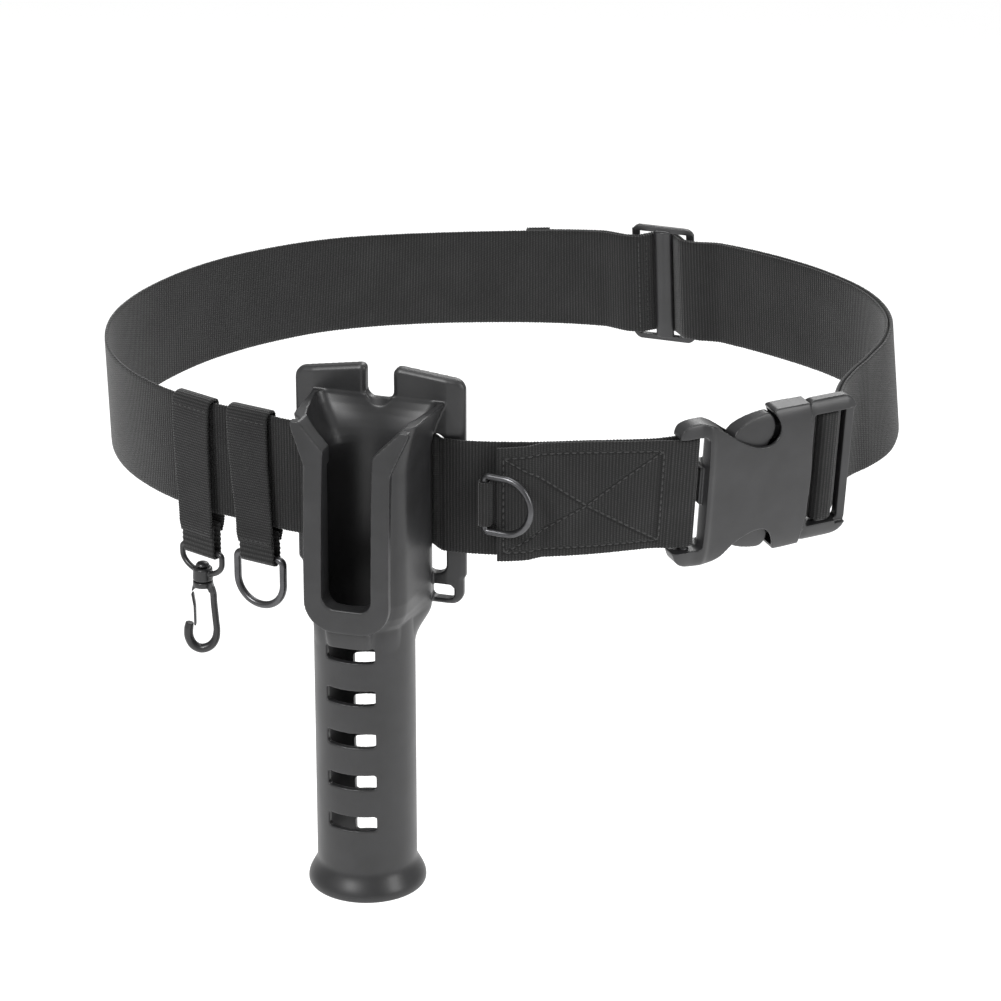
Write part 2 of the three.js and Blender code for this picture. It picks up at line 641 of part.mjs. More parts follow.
function plugSolid() {
  const half = 4.8;
  const rails = roundedRect(55.2, 78.2, -SHELL.halfHeight, SHELL.halfHeight, 5);
  const skin = prismYZ(crown(5.6, SHELL.halfHeight, 3.4), 10, 90);
  const frame = cut(prismXZ(rails, -6, 6).intersect(skin), box(57.2, 74, -9, 9, -RAIL, RAIL));
  const bars = prismXY(roundedRect(MIDDLE_BAR.x0 - BAR_RADIUS, MIDDLE_BAR.x1 + BAR_RADIUS, -BAR_RADIUS, BAR_RADIUS, 1.9), -RAIL - 1, RAIL + 1, 3);
  const trims = [box(55, 58.6, -9, -4.6, -RAIL, RAIL), box(72, 80, -9, -2.2, -RAIL, RAIL), box(72, 80, 2.2, 9, -RAIL, RAIL)];
  const tongue = box(24, 56.2, -1.6, 1.6, -4, 4);
  const root = box(51, 56.2, -half + 0.4, half - 0.4, -27, 27);
  const arms = [1, -1].map((side) => prismXZ(prong(side), -half + 0.6, half - 0.6));
  return cut(join(frame, bars, tongue, root, ...arms), ...trims);
}

const socketGroup = groupAt(CHORD.x, CHORD.y, 0, CHORD.yaw);
const buckleLean = new THREE.Group();
buckleLean.rotation.x = degrees(BUCKLE.lean);
socketGroup.add(buckleLean);
addTo(buckleLean, 'buckle_socket', socketSolid(), plastic);
addTo(buckleLean, 'buckle_plug', plugSolid(), plastic);

// Tri-glide at the back, flat, leaning with the webbing.
function triGlide() {
  const { half, halfHeight, window, centreBar, sideBar } = GLIDE;
  const frame = prismXZ(roundedRect(-half, half, -halfHeight, halfHeight, 4), -1.2, 1.2);
  const windows = box(-half - 2, half + 2, -5, 5, -window, window);
  const bars = [[0, centreBar], [-half + sideBar.half, sideBar], [half - sideBar.half, sideBar]].map(([x, bar]) => (
    prismXY(ellipse(x, 0, bar.half, bar.thick), -window - 0.5, window + 0.5, 4)));
  return join(cut(frame, windows), ...bars);
}

const glideAt = waistAt(S_GLIDE);
const glideCentre = glideAt.at.clone().addScaledVector(glideAt.out, HALF_PAIR);
const glideGroup = groupAt(glideCentre.x, glideCentre.y, 0, THREE.MathUtils.radToDeg(Math.atan2(-glideAt.out.x, glideAt.out.y)));
const glideLean = new THREE.Group();
glideLean.rotation.x = glideAt.lean;
glideGroup.add(glideLean);
addTo(glideLean, 'tri_glide', triGlide(), plastic);

// Belt D-ring in a webbing tab under the sewn end.
const TAB = { thick: 0.9, half: 10, lap: 8 };
const BELT_RING = { wire: 1.5, half: 12.3, reach: 21, level: 5.2, tilt: 20 };
function tabStations() {
  const s0 = S_FOLD_END;
  const level = (lift, s) => layerAt(s, -1, WEB_THICK / 2 + CLEAR + lift);
  const low = TAB.thick / 2 + 0.15;
  const high = TAB.thick * 1.5 + CLEAR + 0.15;
  const bar = BELT_RING.wire + CLEAR + TAB.thick / 2;
  const under = [level(low, s0 - TAB.lap), level(low, s0 - 2), level(low, s0 + 1), level(low + 0.6, s0 + 3)];
  const centre = level(BELT_RING.level - 0.8, s0 + 5);
  const inner = level(BELT_RING.level - 0.8 - bar, s0 + 5);
  const half = inner.clone().sub(centre);
  const way = new THREE.Vector3(-half.y, half.x, 0);
  const wrap = Array.from({ length: 14 }, (_, i) => {
    const t = degrees(20 + 17.4 * i);
    return centre.clone().addScaledVector(half, Math.cos(t)).addScaledVector(way, Math.sin(t));
  });
  const over = [level(high + 1.3, s0 + 2.1), level(high + 0.1, s0 + 0.9), level(high, s0 - TAB.lap)];
  return { centre, stations: [...under, ...wrap, ...over].map((at) => ({ at, across: UP.clone(), width: TAB.half * 2 })) };
}
const tab = tabStations();
addTo(belt, 'ring_tab', ribbon(tab.stations, TAB.thick), webbing);

const tabWaist = waistAt(S_FOLD_END + 5);
const ringGroup = groupAt(tab.centre.x, tab.centre.y, 0, THREE.MathUtils.radToDeg(Math.atan2(-tabWaist.out.x, tabWaist.out.y)) + 180);
const ringFlat = new THREE.Group();
ringFlat.rotation.z = degrees(-BELT_RING.tilt);
ringGroup.add(ringFlat);
const beltRing = addTo(ringFlat, 'belt_d_ring', wireLoop(ringD(BELT_RING.half, BELT_RING.reach, 1.8, 9), BELT_RING.wire, 10), metal);
beltRing.rotation.y = degrees(-90);

// Two webbing loops over the belt, hanging a little askew. aside is the place of their middle and
// width their breadth, both from the fold over the belt's top down to the bar.
const LOOP = { thick: 1.2, topWidth: 20.6, topAside: 1.4, topZ: 25, lowZ: -34 };
function loopFrame(s) {
  const w = waistAt(s);
  return { ...w, yaw: THREE.MathUtils.radToDeg(Math.atan2(w.out.x, -w.out.y)) };
}

// The loop's run in its own outward and z, from behind the belt over its top and down to the bar.
function loopRun({ out, z, wire }) {
  const wrap = wire + CLEAR + LOOP.thick / 2;
  const behind = -WEB_THICK / 2 - CLEAR - LOOP.thick / 2 - 0.9;
  return [
    [out - wrap - 0.2, z + 5.5], [behind - 0.1, -26.4], [behind, -10], [behind, 12], [behind, 24.4],
    [behind + 0.5, 26.1], [0, 26.6], [2.2, 26.3], [3.5, 25.2], [4.2, 22], [4.9, 10], [5, -8],
    [4.6, -24], [out + wrap + 0.2, z + 7], [out + wrap, z + 1],
    ...arc(out, z, wrap, 0, -180, 8), [out - wrap, z + 2.6],
  ];
}

function loopSolid(hanger) {
  return ribbon(loopRun(hanger).map(([out, z]) => {
    const down = THREE.MathUtils.clamp((LOOP.topZ - z) / (LOOP.topZ - LOOP.lowZ), 0, 1);
    return {
      at: new THREE.Vector3(THREE.MathUtils.lerp(LOOP.topAside, hanger.aside, down), -out, z),
      across: new THREE.Vector3(1, 0, 0),
      width: THREE.MathUtils.lerp(LOOP.topWidth, hanger.webWidth, down),
    };
  }), LOOP.thick);
}

const HOOK = { out: 2.2, z: -42.6, wire: 1.25, half: 11.3, aside: 4, webWidth: 18.6 };
const hookLoopAt = loopFrame(S_HOOK_LOOP);
const hookGroup = groupAt(hookLoopAt.at.x, hookLoopAt.at.y, 0, hookLoopAt.yaw);
addTo(hookGroup, 'hook_loop', loopSolid(HOOK), webbing);

const RING = { out: 2.2, z: -39.2, wire: 1.6, half: 11.5, aside: 5.4, webWidth: 18 };
RING.drop = 22.3;
const ringLoopAt = loopFrame(S_RING_LOOP);
const hangGroup = groupAt(ringLoopAt.at.x, ringLoopAt.at.y, 0, ringLoopAt.yaw);
addTo(hangGroup, 'ring_loop', loopSolid(RING), webbing);

const ringWire = wireLoop(ringD(RING.half, RING.drop, 2, 11), RING.wire, 10);
const hangingRing = addTo(hangGroup, 'hanging_d_ring', ringWire, metal);
hangingRing.position.set(RING.aside, -RING.out, RING.z);

// Swivel eye: a D with a boss that the hook's shank turns in.
const SHANK = { radius: 1.6, hole: 2, boss: 4.4, top: -8.2, bottom: -14.2, play: 0.35 };
function eyeSolid() {
  const wire = wireLoop(ringD(HOOK.half, 11, 1.6, 4), HOOK.wire, 10);
  const boss = new THREE.CylinderGeometry(SHANK.boss, SHANK.boss, SHANK.top - SHANK.bottom, 20);
  boss.rotateX(Math.PI / 2);
  boss.translate(0, 0, (SHANK.top + SHANK.bottom) / 2);
  const hole = new THREE.CylinderGeometry(SHANK.hole, SHANK.hole, 16, 16);
  hole.rotateX(Math.PI / 2);
  hole.translate(0, 0, -12);
  return cut(join(wire, solid(boss)), solid(hole));
}
const eye = addTo(hookGroup, 'hook_eye', eyeSolid(), plastic);
eye.position.set(HOOK.aside, -HOOK.out, HOOK.z);

// Hook: rivet head above the boss, shank through it, flange below and the open hook.
const HOOK_LINE = [
  [3.6, -17.7], [4.3, -20.5], [4.5, -25], [5.1, -33], [5.4, -38], [4.6, -42.2], [2.2, -45.4], [-1.6, -46.7],
  [-4.9, -45.2], [-6.7, -41.8], [-6.9, -38.2], [-6.3, -34.6],
];
function hookSolid() {
  const radius = 1.65;
  const under = SHANK.bottom - SHANK.play;
  const above = SHANK.top + SHANK.play;
  const rivet = [
    [0, under - 2.5], [4.4, under - 2.5], [4.4, under], [SHANK.radius, under], [SHANK.radius, above],
    [2.6, above], [3, above + 0.7], [2, above + 1.9], [0, above + 2.1],
  ];
  const head = new THREE.LatheGeometry(rivet.map(([x, z]) => new THREE.Vector2(x, z)), 16);
  head.rotateX(Math.PI / 2);
  const curve = new THREE.CatmullRomCurve3(HOOK_LINE.map(([x, z]) => new THREE.Vector3(x, 0, z)), false, 'centripetal');
  const line = curve.getSpacedPoints(22);
  const rings = line.map((p, i) => {
    const way = line[Math.min(i + 1, 22)].clone().sub(line[Math.max(i - 1, 0)]).normalize();
    const side = new THREE.Vector3(0, 1, 0).cross(way);
    return Array.from({ length: 10 }, (_, j) => {
      const t = ((j + 0.5) / 10) * Math.PI * 2;
      return p.clone().addScaledVector(side, radius * Math.cos(t)).add(new THREE.Vector3(0, radius * Math.sin(t), 0));
    });
  });
  const yoke = polygon([
    [-5.2, -20.3], [-4.2, -15.8], [4.2, -15.8], [5.4, -20.3], [2.6, -19.8], [2, -18], [-3.4, -18],
  ]);
  return join(solid(head), solid(loft(rings)), prismXZ(yoke, -radius, radius));
}
const hookTurn = new THREE.Group();
hookTurn.position.set(HOOK.aside, -HOOK.out, HOOK.z);
hookTurn.rotation.z = degrees(33);
hookGroup.add(hookTurn);
addTo(hookTurn, 'snap_hook', hookSolid(), plastic);

// The hook's spring tongue, a thin blade that closes its mouth.
const blade = polygon([[-5.2, -20.6], [-4.2, -20.6], [-3.4, -26.5], [-3.4, -35.6], [-4.2, -35.6], [-4.3, -26.5]]);
addTo(hookTurn, 'hook_gate', prismXZ(blade, -1.4, 1.4), plastic);

export default belt;
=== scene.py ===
# Fishing belt: webbing, a moulded rod holder, a side-release buckle, a tri-glide, D-rings and a
# swivel hook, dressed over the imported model. Shapes are drawn in millimetres in the plan of the
# piece that carries them, and every mesh is written in metres in the part's own frame.
import math
import random

import bmesh
import bpy
import numpy as np
from mathutils import Matrix, Vector


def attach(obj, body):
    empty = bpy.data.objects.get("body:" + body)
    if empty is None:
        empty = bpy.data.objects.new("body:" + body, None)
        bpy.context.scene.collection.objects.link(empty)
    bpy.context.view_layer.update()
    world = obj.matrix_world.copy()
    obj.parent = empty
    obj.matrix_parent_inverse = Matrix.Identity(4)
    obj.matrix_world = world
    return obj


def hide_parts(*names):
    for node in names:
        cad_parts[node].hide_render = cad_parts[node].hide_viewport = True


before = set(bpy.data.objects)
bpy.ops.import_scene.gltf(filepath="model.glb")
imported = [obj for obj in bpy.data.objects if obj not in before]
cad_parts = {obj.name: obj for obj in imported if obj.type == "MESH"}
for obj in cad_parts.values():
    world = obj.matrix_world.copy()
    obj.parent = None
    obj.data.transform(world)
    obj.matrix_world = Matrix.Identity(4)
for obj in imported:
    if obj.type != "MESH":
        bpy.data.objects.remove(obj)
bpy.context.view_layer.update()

MM = 0.001
UP = Vector((0, 0, 1))
RIB = 1.35
random.seed(11)
scene = bpy.context.scene


# Small helpers

def ease(low, high, value):
    t = min(max((value - low) / (high - low), 0.0), 1.0)
    return t * t * (3 - 2 * t)


def placed(x, y, z=0.0, yaw=0.0):
    return Matrix.Translation((x, y, z)) @ Matrix.Rotation(math.radians(yaw), 4, "Z")


def arc2(x, y, r, a, b, steps):
    points = []
    for i in range(steps + 1):
        t = math.radians(a + (b - a) * i / steps)
        points.append((x + r * math.cos(t), y + r * math.sin(t)))
    return points


def rounded(corners, steps=6):
    """A closed outline from (x, y, radius) corners, each rounded by its radius."""
    out = []
    n = len(corners)
    for i, (x, y, r) in enumerate(corners):
        here = Vector((x, y))
        before = Vector(corners[i - 1][:2]) - here
        after = Vector(corners[(i + 1) % n][:2]) - here
        if r <= 0:
            out.append((x, y))
            continue
        half = before.angle(after) / 2
        reach = min(r / math.tan(half), before.length * 0.49, after.length * 0.49)
        radius = reach * math.tan(half)
        middle = (before.normalized() + after.normalized()).normalized() * (radius / math.sin(half))
        centre = here + middle
        start = here + before.normalized() * reach - centre
        end = here + after.normalized() * reach - centre
        sweep = start.angle_signed(end)
        for k in range(steps + 1):
            turn = Matrix.Rotation(-sweep * k / steps, 2)
            p = centre + turn @ start
            out.append((p.x, p.y))
    return out


def catmull(points, steps):
    """Samples of a centripetal Catmull-Rom curve through the points."""
    pts = [np.array(p, float) for p in points]
    ext = [2 * pts[0] - pts[1]] + pts + [2 * pts[-1] - pts[-2]]
    out = []
    for i in range(len(pts) - 1):
        p0, p1, p2, p3 = ext[i:i + 4]
        spans = ((p0, p1), (p1, p2), (p2, p3))
        d0, d1, d2 = (max(float(np.dot(b - a, b - a)), 1e-12) ** 0.25 for a, b in spans)
        t1 = ((p1 - p0) / d0 - (p2 - p0) / (d0 + d1) + (p2 - p1) / d1) * d1
        t2 = ((p2 - p1) / d1 - (p3 - p1) / (d1 + d2) + (p3 - p2) / d2) * d1
        c2 = -3 * p1 + 3 * p2 - 2 * t1 - t2
        c3 = 2 * p1 - 2 * p2 + t1 + t2
        for k in range(steps):
            t = k / steps
            out.append(p1 + t1 * t + c2 * t * t + c3 * t ** 3)
    out.append(pts[-1])
    return np.array(out)


def resample(points, pitch):
    """Points at an even pitch along a dense polyline."""
    pts = np.array(points, float)
    run = np.concatenate(([0], np.cumsum(np.linalg.norm(np.diff(pts, axis=0), axis=1))))
    count = max(int(round(run[-1] / pitch)), 2)
    at = np.linspace(0, run[-1], count + 1)
    return np.stack([np.interp(at, run, pts[:, k]) for k in range(pts.shape[1])], axis=1), at


# Mesh building

def in_scene(mesh, weld=0.0):
    """Makes an object of a mesh, its faces turned outward."""
    bm = bmesh.new()
    bm.from_mesh(mesh)
    if weld:
        bmesh.ops.remove_doubles(bm, verts=bm.verts, dist=weld)
    bmesh.ops.recalc_face_normals(bm, faces=bm.faces)
    bm.to_mesh(mesh)
    bm.free()
    obj = bpy.data.objects.new(mesh.name, mesh)
    scene.collection.objects.link(obj)
    return obj


def raw(verts, faces):
    mesh = bpy.data.meshes.new("raw")
    mesh.from_pydata([tuple(v) for v in verts], [], faces)
    return in_scene(mesh, 1e-5)


def prism(outline, low, high, axis):
    """An outline pushed from low to high: axis y takes (x, z), z takes (x, y), x takes (y, z)."""
    def lift(p, level):
        return {"y": (p[0], level, p[1]), "z": (p[0], p[1], level), "x": (level, p[0], p[1])}[axis]
    n = len(outline)
    verts = [lift(p, low) for p in outline] + [lift(p, high) for p in outline]
    faces = [[i, (i + 1) % n, n + (i + 1) % n, n + i] for i in range(n)]
    return raw(verts, faces + [list(range(n)), list(range(n, 2 * n))])


def loft(rings, closed=False):
    n = len(rings[0])
    verts = [p for ring in rings for p in ring]
    faces = []
    for i in range(len(rings) if closed else len(rings) - 1):
        a = i * n
        b = ((i + 1) % len(rings)) * n
        faces += [[a + j, a + (j + 1) % n, b + (j + 1) % n, b + j] for j in range(n)]
    if not closed:
        faces += [list(range(n)), [(len(rings) - 1) * n + j for j in range(n)]]
    return raw(verts, faces)


def turns(count):
    return [2 * math.pi * i / count for i in range(count)]


def oval(wide, thick, count, x=0.0, y=0.0):
    return [(x + wide * math.cos(t), y + thick * math.sin(t)) for t in turns(count)]


def lathe(profile, segments):
    """A closed (radius, z) profile turned round z."""
    rings = [[(r * math.cos(t), r * math.sin(t), z) for r, z in profile] for t in turns(segments)]
    return loft(rings, closed=True)


def drum(radius, z0, z1, segments):
    return prism(oval(radius, radius, segments), z0, z1, "z")


def block(x0, x1, y0, y1, z0, z1, radius=0.0, steps=6):
    """A box whose edges along y are rounded."""
    corners = [(x0, z0), (x1, z0), (x1, z1), (x0, z1)]
    return prism(rounded([(x, z, radius) for x, z in corners], steps), y0, y1, "y")


def wire(points, radius, sides, closed=False):
    """A round wire along points that lie in an upright plane facing y."""
    pts = [Vector(p) for p in points]
    n = len(pts)
    rings = []
    for i, p in enumerate(pts):
        a = pts[(i - 1) % n] if closed or i else pts[0]
        b = pts[(i + 1) % n] if closed or i < n - 1 else pts[-1]
        way = (b - a).normalized()
        side = Vector((0, 1, 0)).cross(way).normalized()
        top = way.cross(side)
        size = radius(i / (n - 1)) if callable(radius) else radius
        rings.append([p + side * size * math.cos(t) + top * size * math.sin(t) for t in turns(sides)])
    return loft(rings, closed)


def evaluated(obj):
    """Bakes an object's modifiers into its mesh."""
    graph = bpy.context.evaluated_depsgraph_get()
    mesh = bpy.data.meshes.new_from_object(obj.evaluated_get(graph), depsgraph=graph)
    old = obj.data
    obj.modifiers.clear()
    obj.data = mesh
    bpy.data.meshes.remove(old)


def boolean(obj, other, way):
    """Joins, cuts or intersects obj with other, and removes other."""
    step = obj.modifiers.new("step", "BOOLEAN")
    step.operation = way
    step.solver = "EXACT"
    step.object = other
    evaluated(obj)
    spent = other.data
    bpy.data.objects.remove(other)
    bpy.data.meshes.remove(spent)
    return obj


def joined(obj, *others):
    for other in others:
        boolean(obj, other, "UNION")
    return obj


def cut(obj, *tools):
    for tool in tools:
        boolean(obj, tool, "DIFFERENCE")


def moulded(obj, voxel, rounds, triangles):
    """Softens a sharp solid into a moulding: an even remesh, smoothed edges, then fewer faces."""
    coarse = 1.0
    step = obj.modifiers.new("even", "REMESH")
    step.mode = "VOXEL"
    step.voxel_size = voxel * coarse
    step.use_smooth_shade = True
    soften = obj.modifiers.new("soften", "SMOOTH")
    soften.factor = 0.5
    soften.iterations = max(1, int(rounds / coarse))
    evaluated(obj)
    faces = len(obj.data.polygons) * 2
    if faces > triangles:
        fewer = obj.modifiers.new("fewer", "DECIMATE")
        fewer.ratio = triangles / faces
        evaluated(obj)
    return obj


def settled(obj, name, matrix, body, slot, material, *nodes):
    """Writes the piece into the part's frame in metres, names it and ties it to its body."""
    obj.data.transform(Matrix.Scale(MM, 4) @ matrix)
    obj.name = name
    obj.data.name = name
    obj.data.materials.clear()
    obj.data.materials.append(material)
    for face in obj.data.polygons:
        face.use_smooth = True
    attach(obj, body)
    if nodes:
        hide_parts(*nodes)


# Materials

class Nodes:
    """A material's node tree, with short calls for the nodes used here."""

    def __init__(self, name):
        self.material = bpy.data.materials.new(name)
        self.material.use_nodes = True
        self.tree = self.material.node_tree
        self.shader = self.tree.nodes["Principled BSDF"]

    def add(self, kind, sockets=None, **values):
        """A new node, whose sockets take constants or other nodes' outputs."""
        node = self.tree.nodes.new(kind)
        for key, value in values.items():
            setattr(node, key, value)
        for key, value in (sockets or {}).items():
            if isinstance(value, bpy.types.NodeSocket):
                self.link(value, node.inputs[key])
            else:
                node.inputs[key].default_value = value
        return node

    def link(self, a, b):
        self.tree.links.new(a, b)

    def feed(self, socket, value):
        self.link(value, self.shader.inputs[socket])

    def math(self, operation, *terms, clamp=False):
        terms = dict(enumerate(terms))
        return self.add("ShaderNodeMath", terms, operation=operation, use_clamp=clamp).outputs[0]

    def times(self, a, b):
        return self.math("MULTIPLY", a, b)

    def plus(self, a, b):
        return self.math("ADD", a, b)

    def minus(self, a, b, clamp=False):
        return self.math("SUBTRACT", a, b, clamp=clamp)

    def noise(self, scale, detail=3.0, roughness=0.55, vector=None, stretch=None):
        source = vector or self.add("ShaderNodeTexCoord").outputs["Object"]
        if stretch:
            source = self.add("ShaderNodeMapping", {"Scale": stretch, "Vector": source}).outputs[0]
        sockets = {"Scale": scale, "Detail": detail, "Roughness": roughness, "Vector": source}
        return self.add("ShaderNodeTexNoise", sockets).outputs["Fac"]

    def ramp(self, value, stops):
        node = self.add("ShaderNodeValToRGB")
        elements = node.color_ramp.elements
        while len(elements) < len(stops):
            elements.new(0.5)
        for element, (position, colour) in zip(elements, stops):
            element.position = position
            element.color = (*colour, 1.0)
        self.link(value, node.inputs[0])
        return node.outputs[0]

    def bump(self, height, strength, distance, normal=None):
        sockets = {"Strength": strength, "Distance": distance, "Height": height}
        if normal is not None:
            sockets["Normal"] = normal
        return self.add("ShaderNodeBump", sockets).outputs[0]


def grey(level, tint=0.0):
    return (level, level, level * (1 + tint))


def plastic_material(name, low, high, rough, grain):
    m = Nodes(name)
    m.feed("Base Color", m.ramp(m.noise(90, 2.0), [(0.3, grey(low, 0.04)), (0.7, grey(high, 0.06))]))
    m.feed("Roughness", m.math("MULTIPLY_ADD", m.noise(55, 3.0), 0.14, rough - 0.07))
    m.shader.inputs["Specular IOR Level"].default_value = 0.5
    soft = m.bump(m.noise(60, 1.0), 0.25, 0.0006)
    m.feed("Normal", m.bump(m.noise(2600, 2.0), grain, 0.00008, soft))
    return m.material


def metal_material(name, level, rough):
    m = Nodes(name)
    tones = [(0.3, grey(level * 0.85, 0.03)), (0.7, grey(level * 1.15, 0.05))]
    m.feed("Base Color", m.ramp(m.noise(160, 3.0), tones))
    m.shader.inputs["Metallic"].default_value = 0.9
    m.feed("Roughness", m.math("MULTIPLY_ADD", m.noise(420, 4.0), 0.18, rough - 0.09))
    m.feed("Normal", m.bump(m.noise(1500, 2.0), 0.12, 0.00006))
    return m.material


def seam_groove_and_painted_shade(m, along, across, ends):
    """How far a seam between two points of the strip map draws the cloth in, from 0 to 1; the same mask sets
    the painted shade that darkens the colour there.
    """
    (x0, y0), (x1, y1) = ends
    length = math.hypot(x1 - x0, y1 - y0)
    dx, dy = (x1 - x0) / length, (y1 - y0) / length
    u, v = m.minus(along, x0), m.minus(across, y0)
    forward = m.plus(m.times(u, dx), m.times(v, dy))
    beyond = m.math("MAXIMUM", m.minus(0.0, forward), m.minus(forward, length))
    aside = m.math("ABSOLUTE", m.minus(m.times(u, dy), m.times(v, dx)))
    near = m.math("MAXIMUM", aside, beyond)
    return m.minus(1.0, m.math("DIVIDE", near, 1.05), clamp=True)


def webbing_material(name, low, high, lines=(), pitch=RIB):
    """Woven webbing. The strip map holds millimetres along and across the strip, and lines are
    pairs of points in it where a seam draws the cloth in, with painted shade darkening its colour."""
    m = Nodes(name)
    strip = m.add("ShaderNodeUVMap", uv_map="strip").outputs[0]
    split = m.add("ShaderNodeSeparateXYZ")
    m.link(strip, split.inputs[0])
    along, across = split.outputs[0], split.outputs[1]
    rib = m.math("COSINE", m.times(along, 2 * math.pi / pitch))
    rib = m.math("MULTIPLY_ADD", rib, 0.5, 0.5)
    yarn = m.noise(1.0, 3.0, 0.75, strip, (1.1, 1.7, 1.0))
    fleck = m.minus(m.noise(1.35, 1.0, 0.5, strip), 0.6, clamp=True)
    pick = m.plus(m.times(across, 2 * math.pi / 0.95), m.times(along, math.pi / pitch))
    weave = m.times(m.math("SINE", pick), rib)
    fuzz = m.noise(5.0, 2.0, 0.7, strip)
    patch = m.noise(0.045, 2.0, 0.5, strip)
    tone = m.plus(m.times(rib, 0.42), m.times(yarn, 0.5))
    for part, share in ((weave, 0.1), (fleck, 1.5), (m.minus(patch, 0.5), 0.35)):
        tone = m.plus(tone, m.times(part, share))
    height = m.plus(m.times(rib, 0.6), m.times(weave, 0.22))
    height = m.plus(height, m.times(fuzz, 0.35))
    seams_groove_and_painted_shade = None
    for ends in lines:
        line_groove_and_painted_shade = seam_groove_and_painted_shade(m, along, across, ends)
        seams_groove_and_painted_shade = line_groove_and_painted_shade if seams_groove_and_painted_shade is None else m.math("MAXIMUM", seams_groove_and_painted_shade, line_groove_and_painted_shade)
    if seams_groove_and_painted_shade is not None:
        # Painted shade: the colour is darkened along the seam lines, where the stitched grooves lie in
        # shadow; the height below sinks them for real.
        tone = m.minus(tone, m.times(seams_groove_and_painted_shade, 0.5))
        height = m.minus(height, m.times(seams_groove_and_painted_shade, 1.6))
    m.feed("Base Color", m.ramp(tone, [(0.16, grey(low * 0.3)), (0.48, grey(low)), (0.95, grey(high))]))
    m.shader.inputs["Roughness"].default_value = 0.82
    m.shader.inputs["Specular IOR Level"].default_value = 0.3
    m.shader.inputs["Sheen Weight"].default_value = 0.16
    m.shader.inputs["Sheen Roughness"].default_value = 0.45
    m.feed("Normal", m.bump(height, 1.0, 0.0003))
    return m.material


def thread_material(name, level):
    m = Nodes(name)
    twist = m.noise(1700, 2.0)
    m.feed("Base Color", m.ramp(twist, [(0.35, grey(level * 0.6)), (0.65, grey(level * 1.4))]))
    m.shader.inputs["Roughness"].default_value = 0.6
    m.shader.inputs["Sheen Weight"].default_value = 0.2
    m.feed("Normal", m.bump(twist, 0.5, 0.00012))
    return m.material


# The waist line, as the model's own: plan points and how far the top edge leans in, in degrees

WEB_WIDTH, WEB_THICK, LAYER_GAP = 50.8, 1.6, 0.5
HALF_PAIR = (WEB_THICK + LAYER_GAP) / 2
CLEAR = 0.3
HOLDER = (-56.7, -141.7, -1.3, -17.0)
STRAP_FRONT, STRAP_BACK = 20.8, 28.5
SLOT = {"inner": 19.1, "outer": 28.8, "low": -35.6, "high": 27.4}
BUCKLE = (78.5, -126.0, 27.5)
BUCKLE_LEAN = math.radians(6)
BUCKLE_LENGTH = 78
BAR_RADIUS = 2.0
GLIDE = {"x": 76.5, "y": 126.3, "half": 15.2, "high": 29.6, "window": 27.0, "weave": 3.8}


def in_plan(base, x, y):
    """A point given in the plan of a piece, as one of the part's plan."""
    c, s = math.cos(math.radians(base[-1])), math.sin(math.radians(base[-1]))
    return base[0] + x * c - y * s, base[1] + x * s + y * c


WAIST = [(89, -119.2, 0), (78, -125.1, 0), (62, -128.6, 1), (37, -132.4, 1.5), (12, -134.7, 1.4)]
WAIST += [(*in_plan(HOLDER, x, STRAP_FRONT), 0) for x in (38, 20, -20, -38)]
WAIST += [
    (-103.5, -100.5, 0), (-125.8, -87, -0.6), (-146.6, -67.7, -1.5), (-162.6, -43, -2), (-171.4, -14.8, -1.8),
    (-171.9, 15.6, -0.8), (-163.8, 44.9, 1), (-149, 71.2, 3.5), (-129.4, 93.9, 6.3), (-106.3, 111.9, 9),
    (-80.6, 124.8, 11.2), (-39.9, 134.2, 12.8), (0, 136.9, 12.1), (40.3, 135.2, 9.7), (80.8, 124.8, 6.8),
    (106.2, 110.9, 5.3), (129.4, 93, 4.4), (150.5, 71.4, 4.1), (166.3, 45.6, 4.3), (173, 15.6, 4.9),
    (168.6, -14.6, 5.2), (158.8, -35.6, 4.6), (150.8, -48, 3.6), (144.6, -61, 2), (141.2, -75, 0.6),
    (139.9, -86, 0),
]
CURVE = catmull(WAIST, 60)
RUN = np.concatenate(([0], np.cumsum(np.linalg.norm(np.diff(CURVE, axis=0), axis=1))))
LENGTH = float(RUN[-1])
SLOPE = np.gradient(CURVE[:, :2], RUN, axis=0)
TABLE_STEPS = 1200
TABLE_S = np.linspace(0, LENGTH, TABLE_STEPS + 1)
TABLE = np.stack([np.interp(TABLE_S, RUN, CURVE[:, k]) for k in range(2)], axis=1)


def along(x, y):
    """How far along the waist line the point nearest to (x, y) lies."""
    best = int(np.argmin((TABLE[:, 0] - x) ** 2 + (TABLE[:, 1] - y) ** 2))
    return best / TABLE_STEPS * LENGTH


def waist_at(s):
    s = min(max(s, 0.0), LENGTH)
    at = Vector((np.interp(s, RUN, CURVE[:, 0]), np.interp(s, RUN, CURVE[:, 1]), 0))
    tx, ty = np.interp(s, RUN, SLOPE[:, 0]), np.interp(s, RUN, SLOPE[:, 1])
    out = Vector((-ty, tx, 0)).normalized()
    return at, out, math.radians(np.interp(s, RUN, CURVE[:, 2]))


S_HOLDER = along(*in_plan(HOLDER, 0, STRAP_FRONT))
S_GLIDE = along(GLIDE["x"], GLIDE["y"])
S_SOCKET = along(BUCKLE[0], BUCKLE[1])
S_HOOK_LOOP = along(-129.0, -84.3)
S_RING_LOOP = along(-105.5, -99.2)
S_FOLD_END = along(-1.5, -134)
S_HEM = along(12.5, 136)


def detour(s):
    """How far the doubled webbing leaves the waist line, at the holder and at the tri-glide."""
    h, g = abs(s - S_HOLDER), abs(s - S_GLIDE)
    holder = -(STRAP_BACK - STRAP_FRONT) * (1 - ease(SLOT["inner"] - 1.5, SLOT["outer"], h))
    return holder + GLIDE["weave"] * (1 - 2 * ease(2.5, 13, g)) * (1 - ease(16, 30, g))


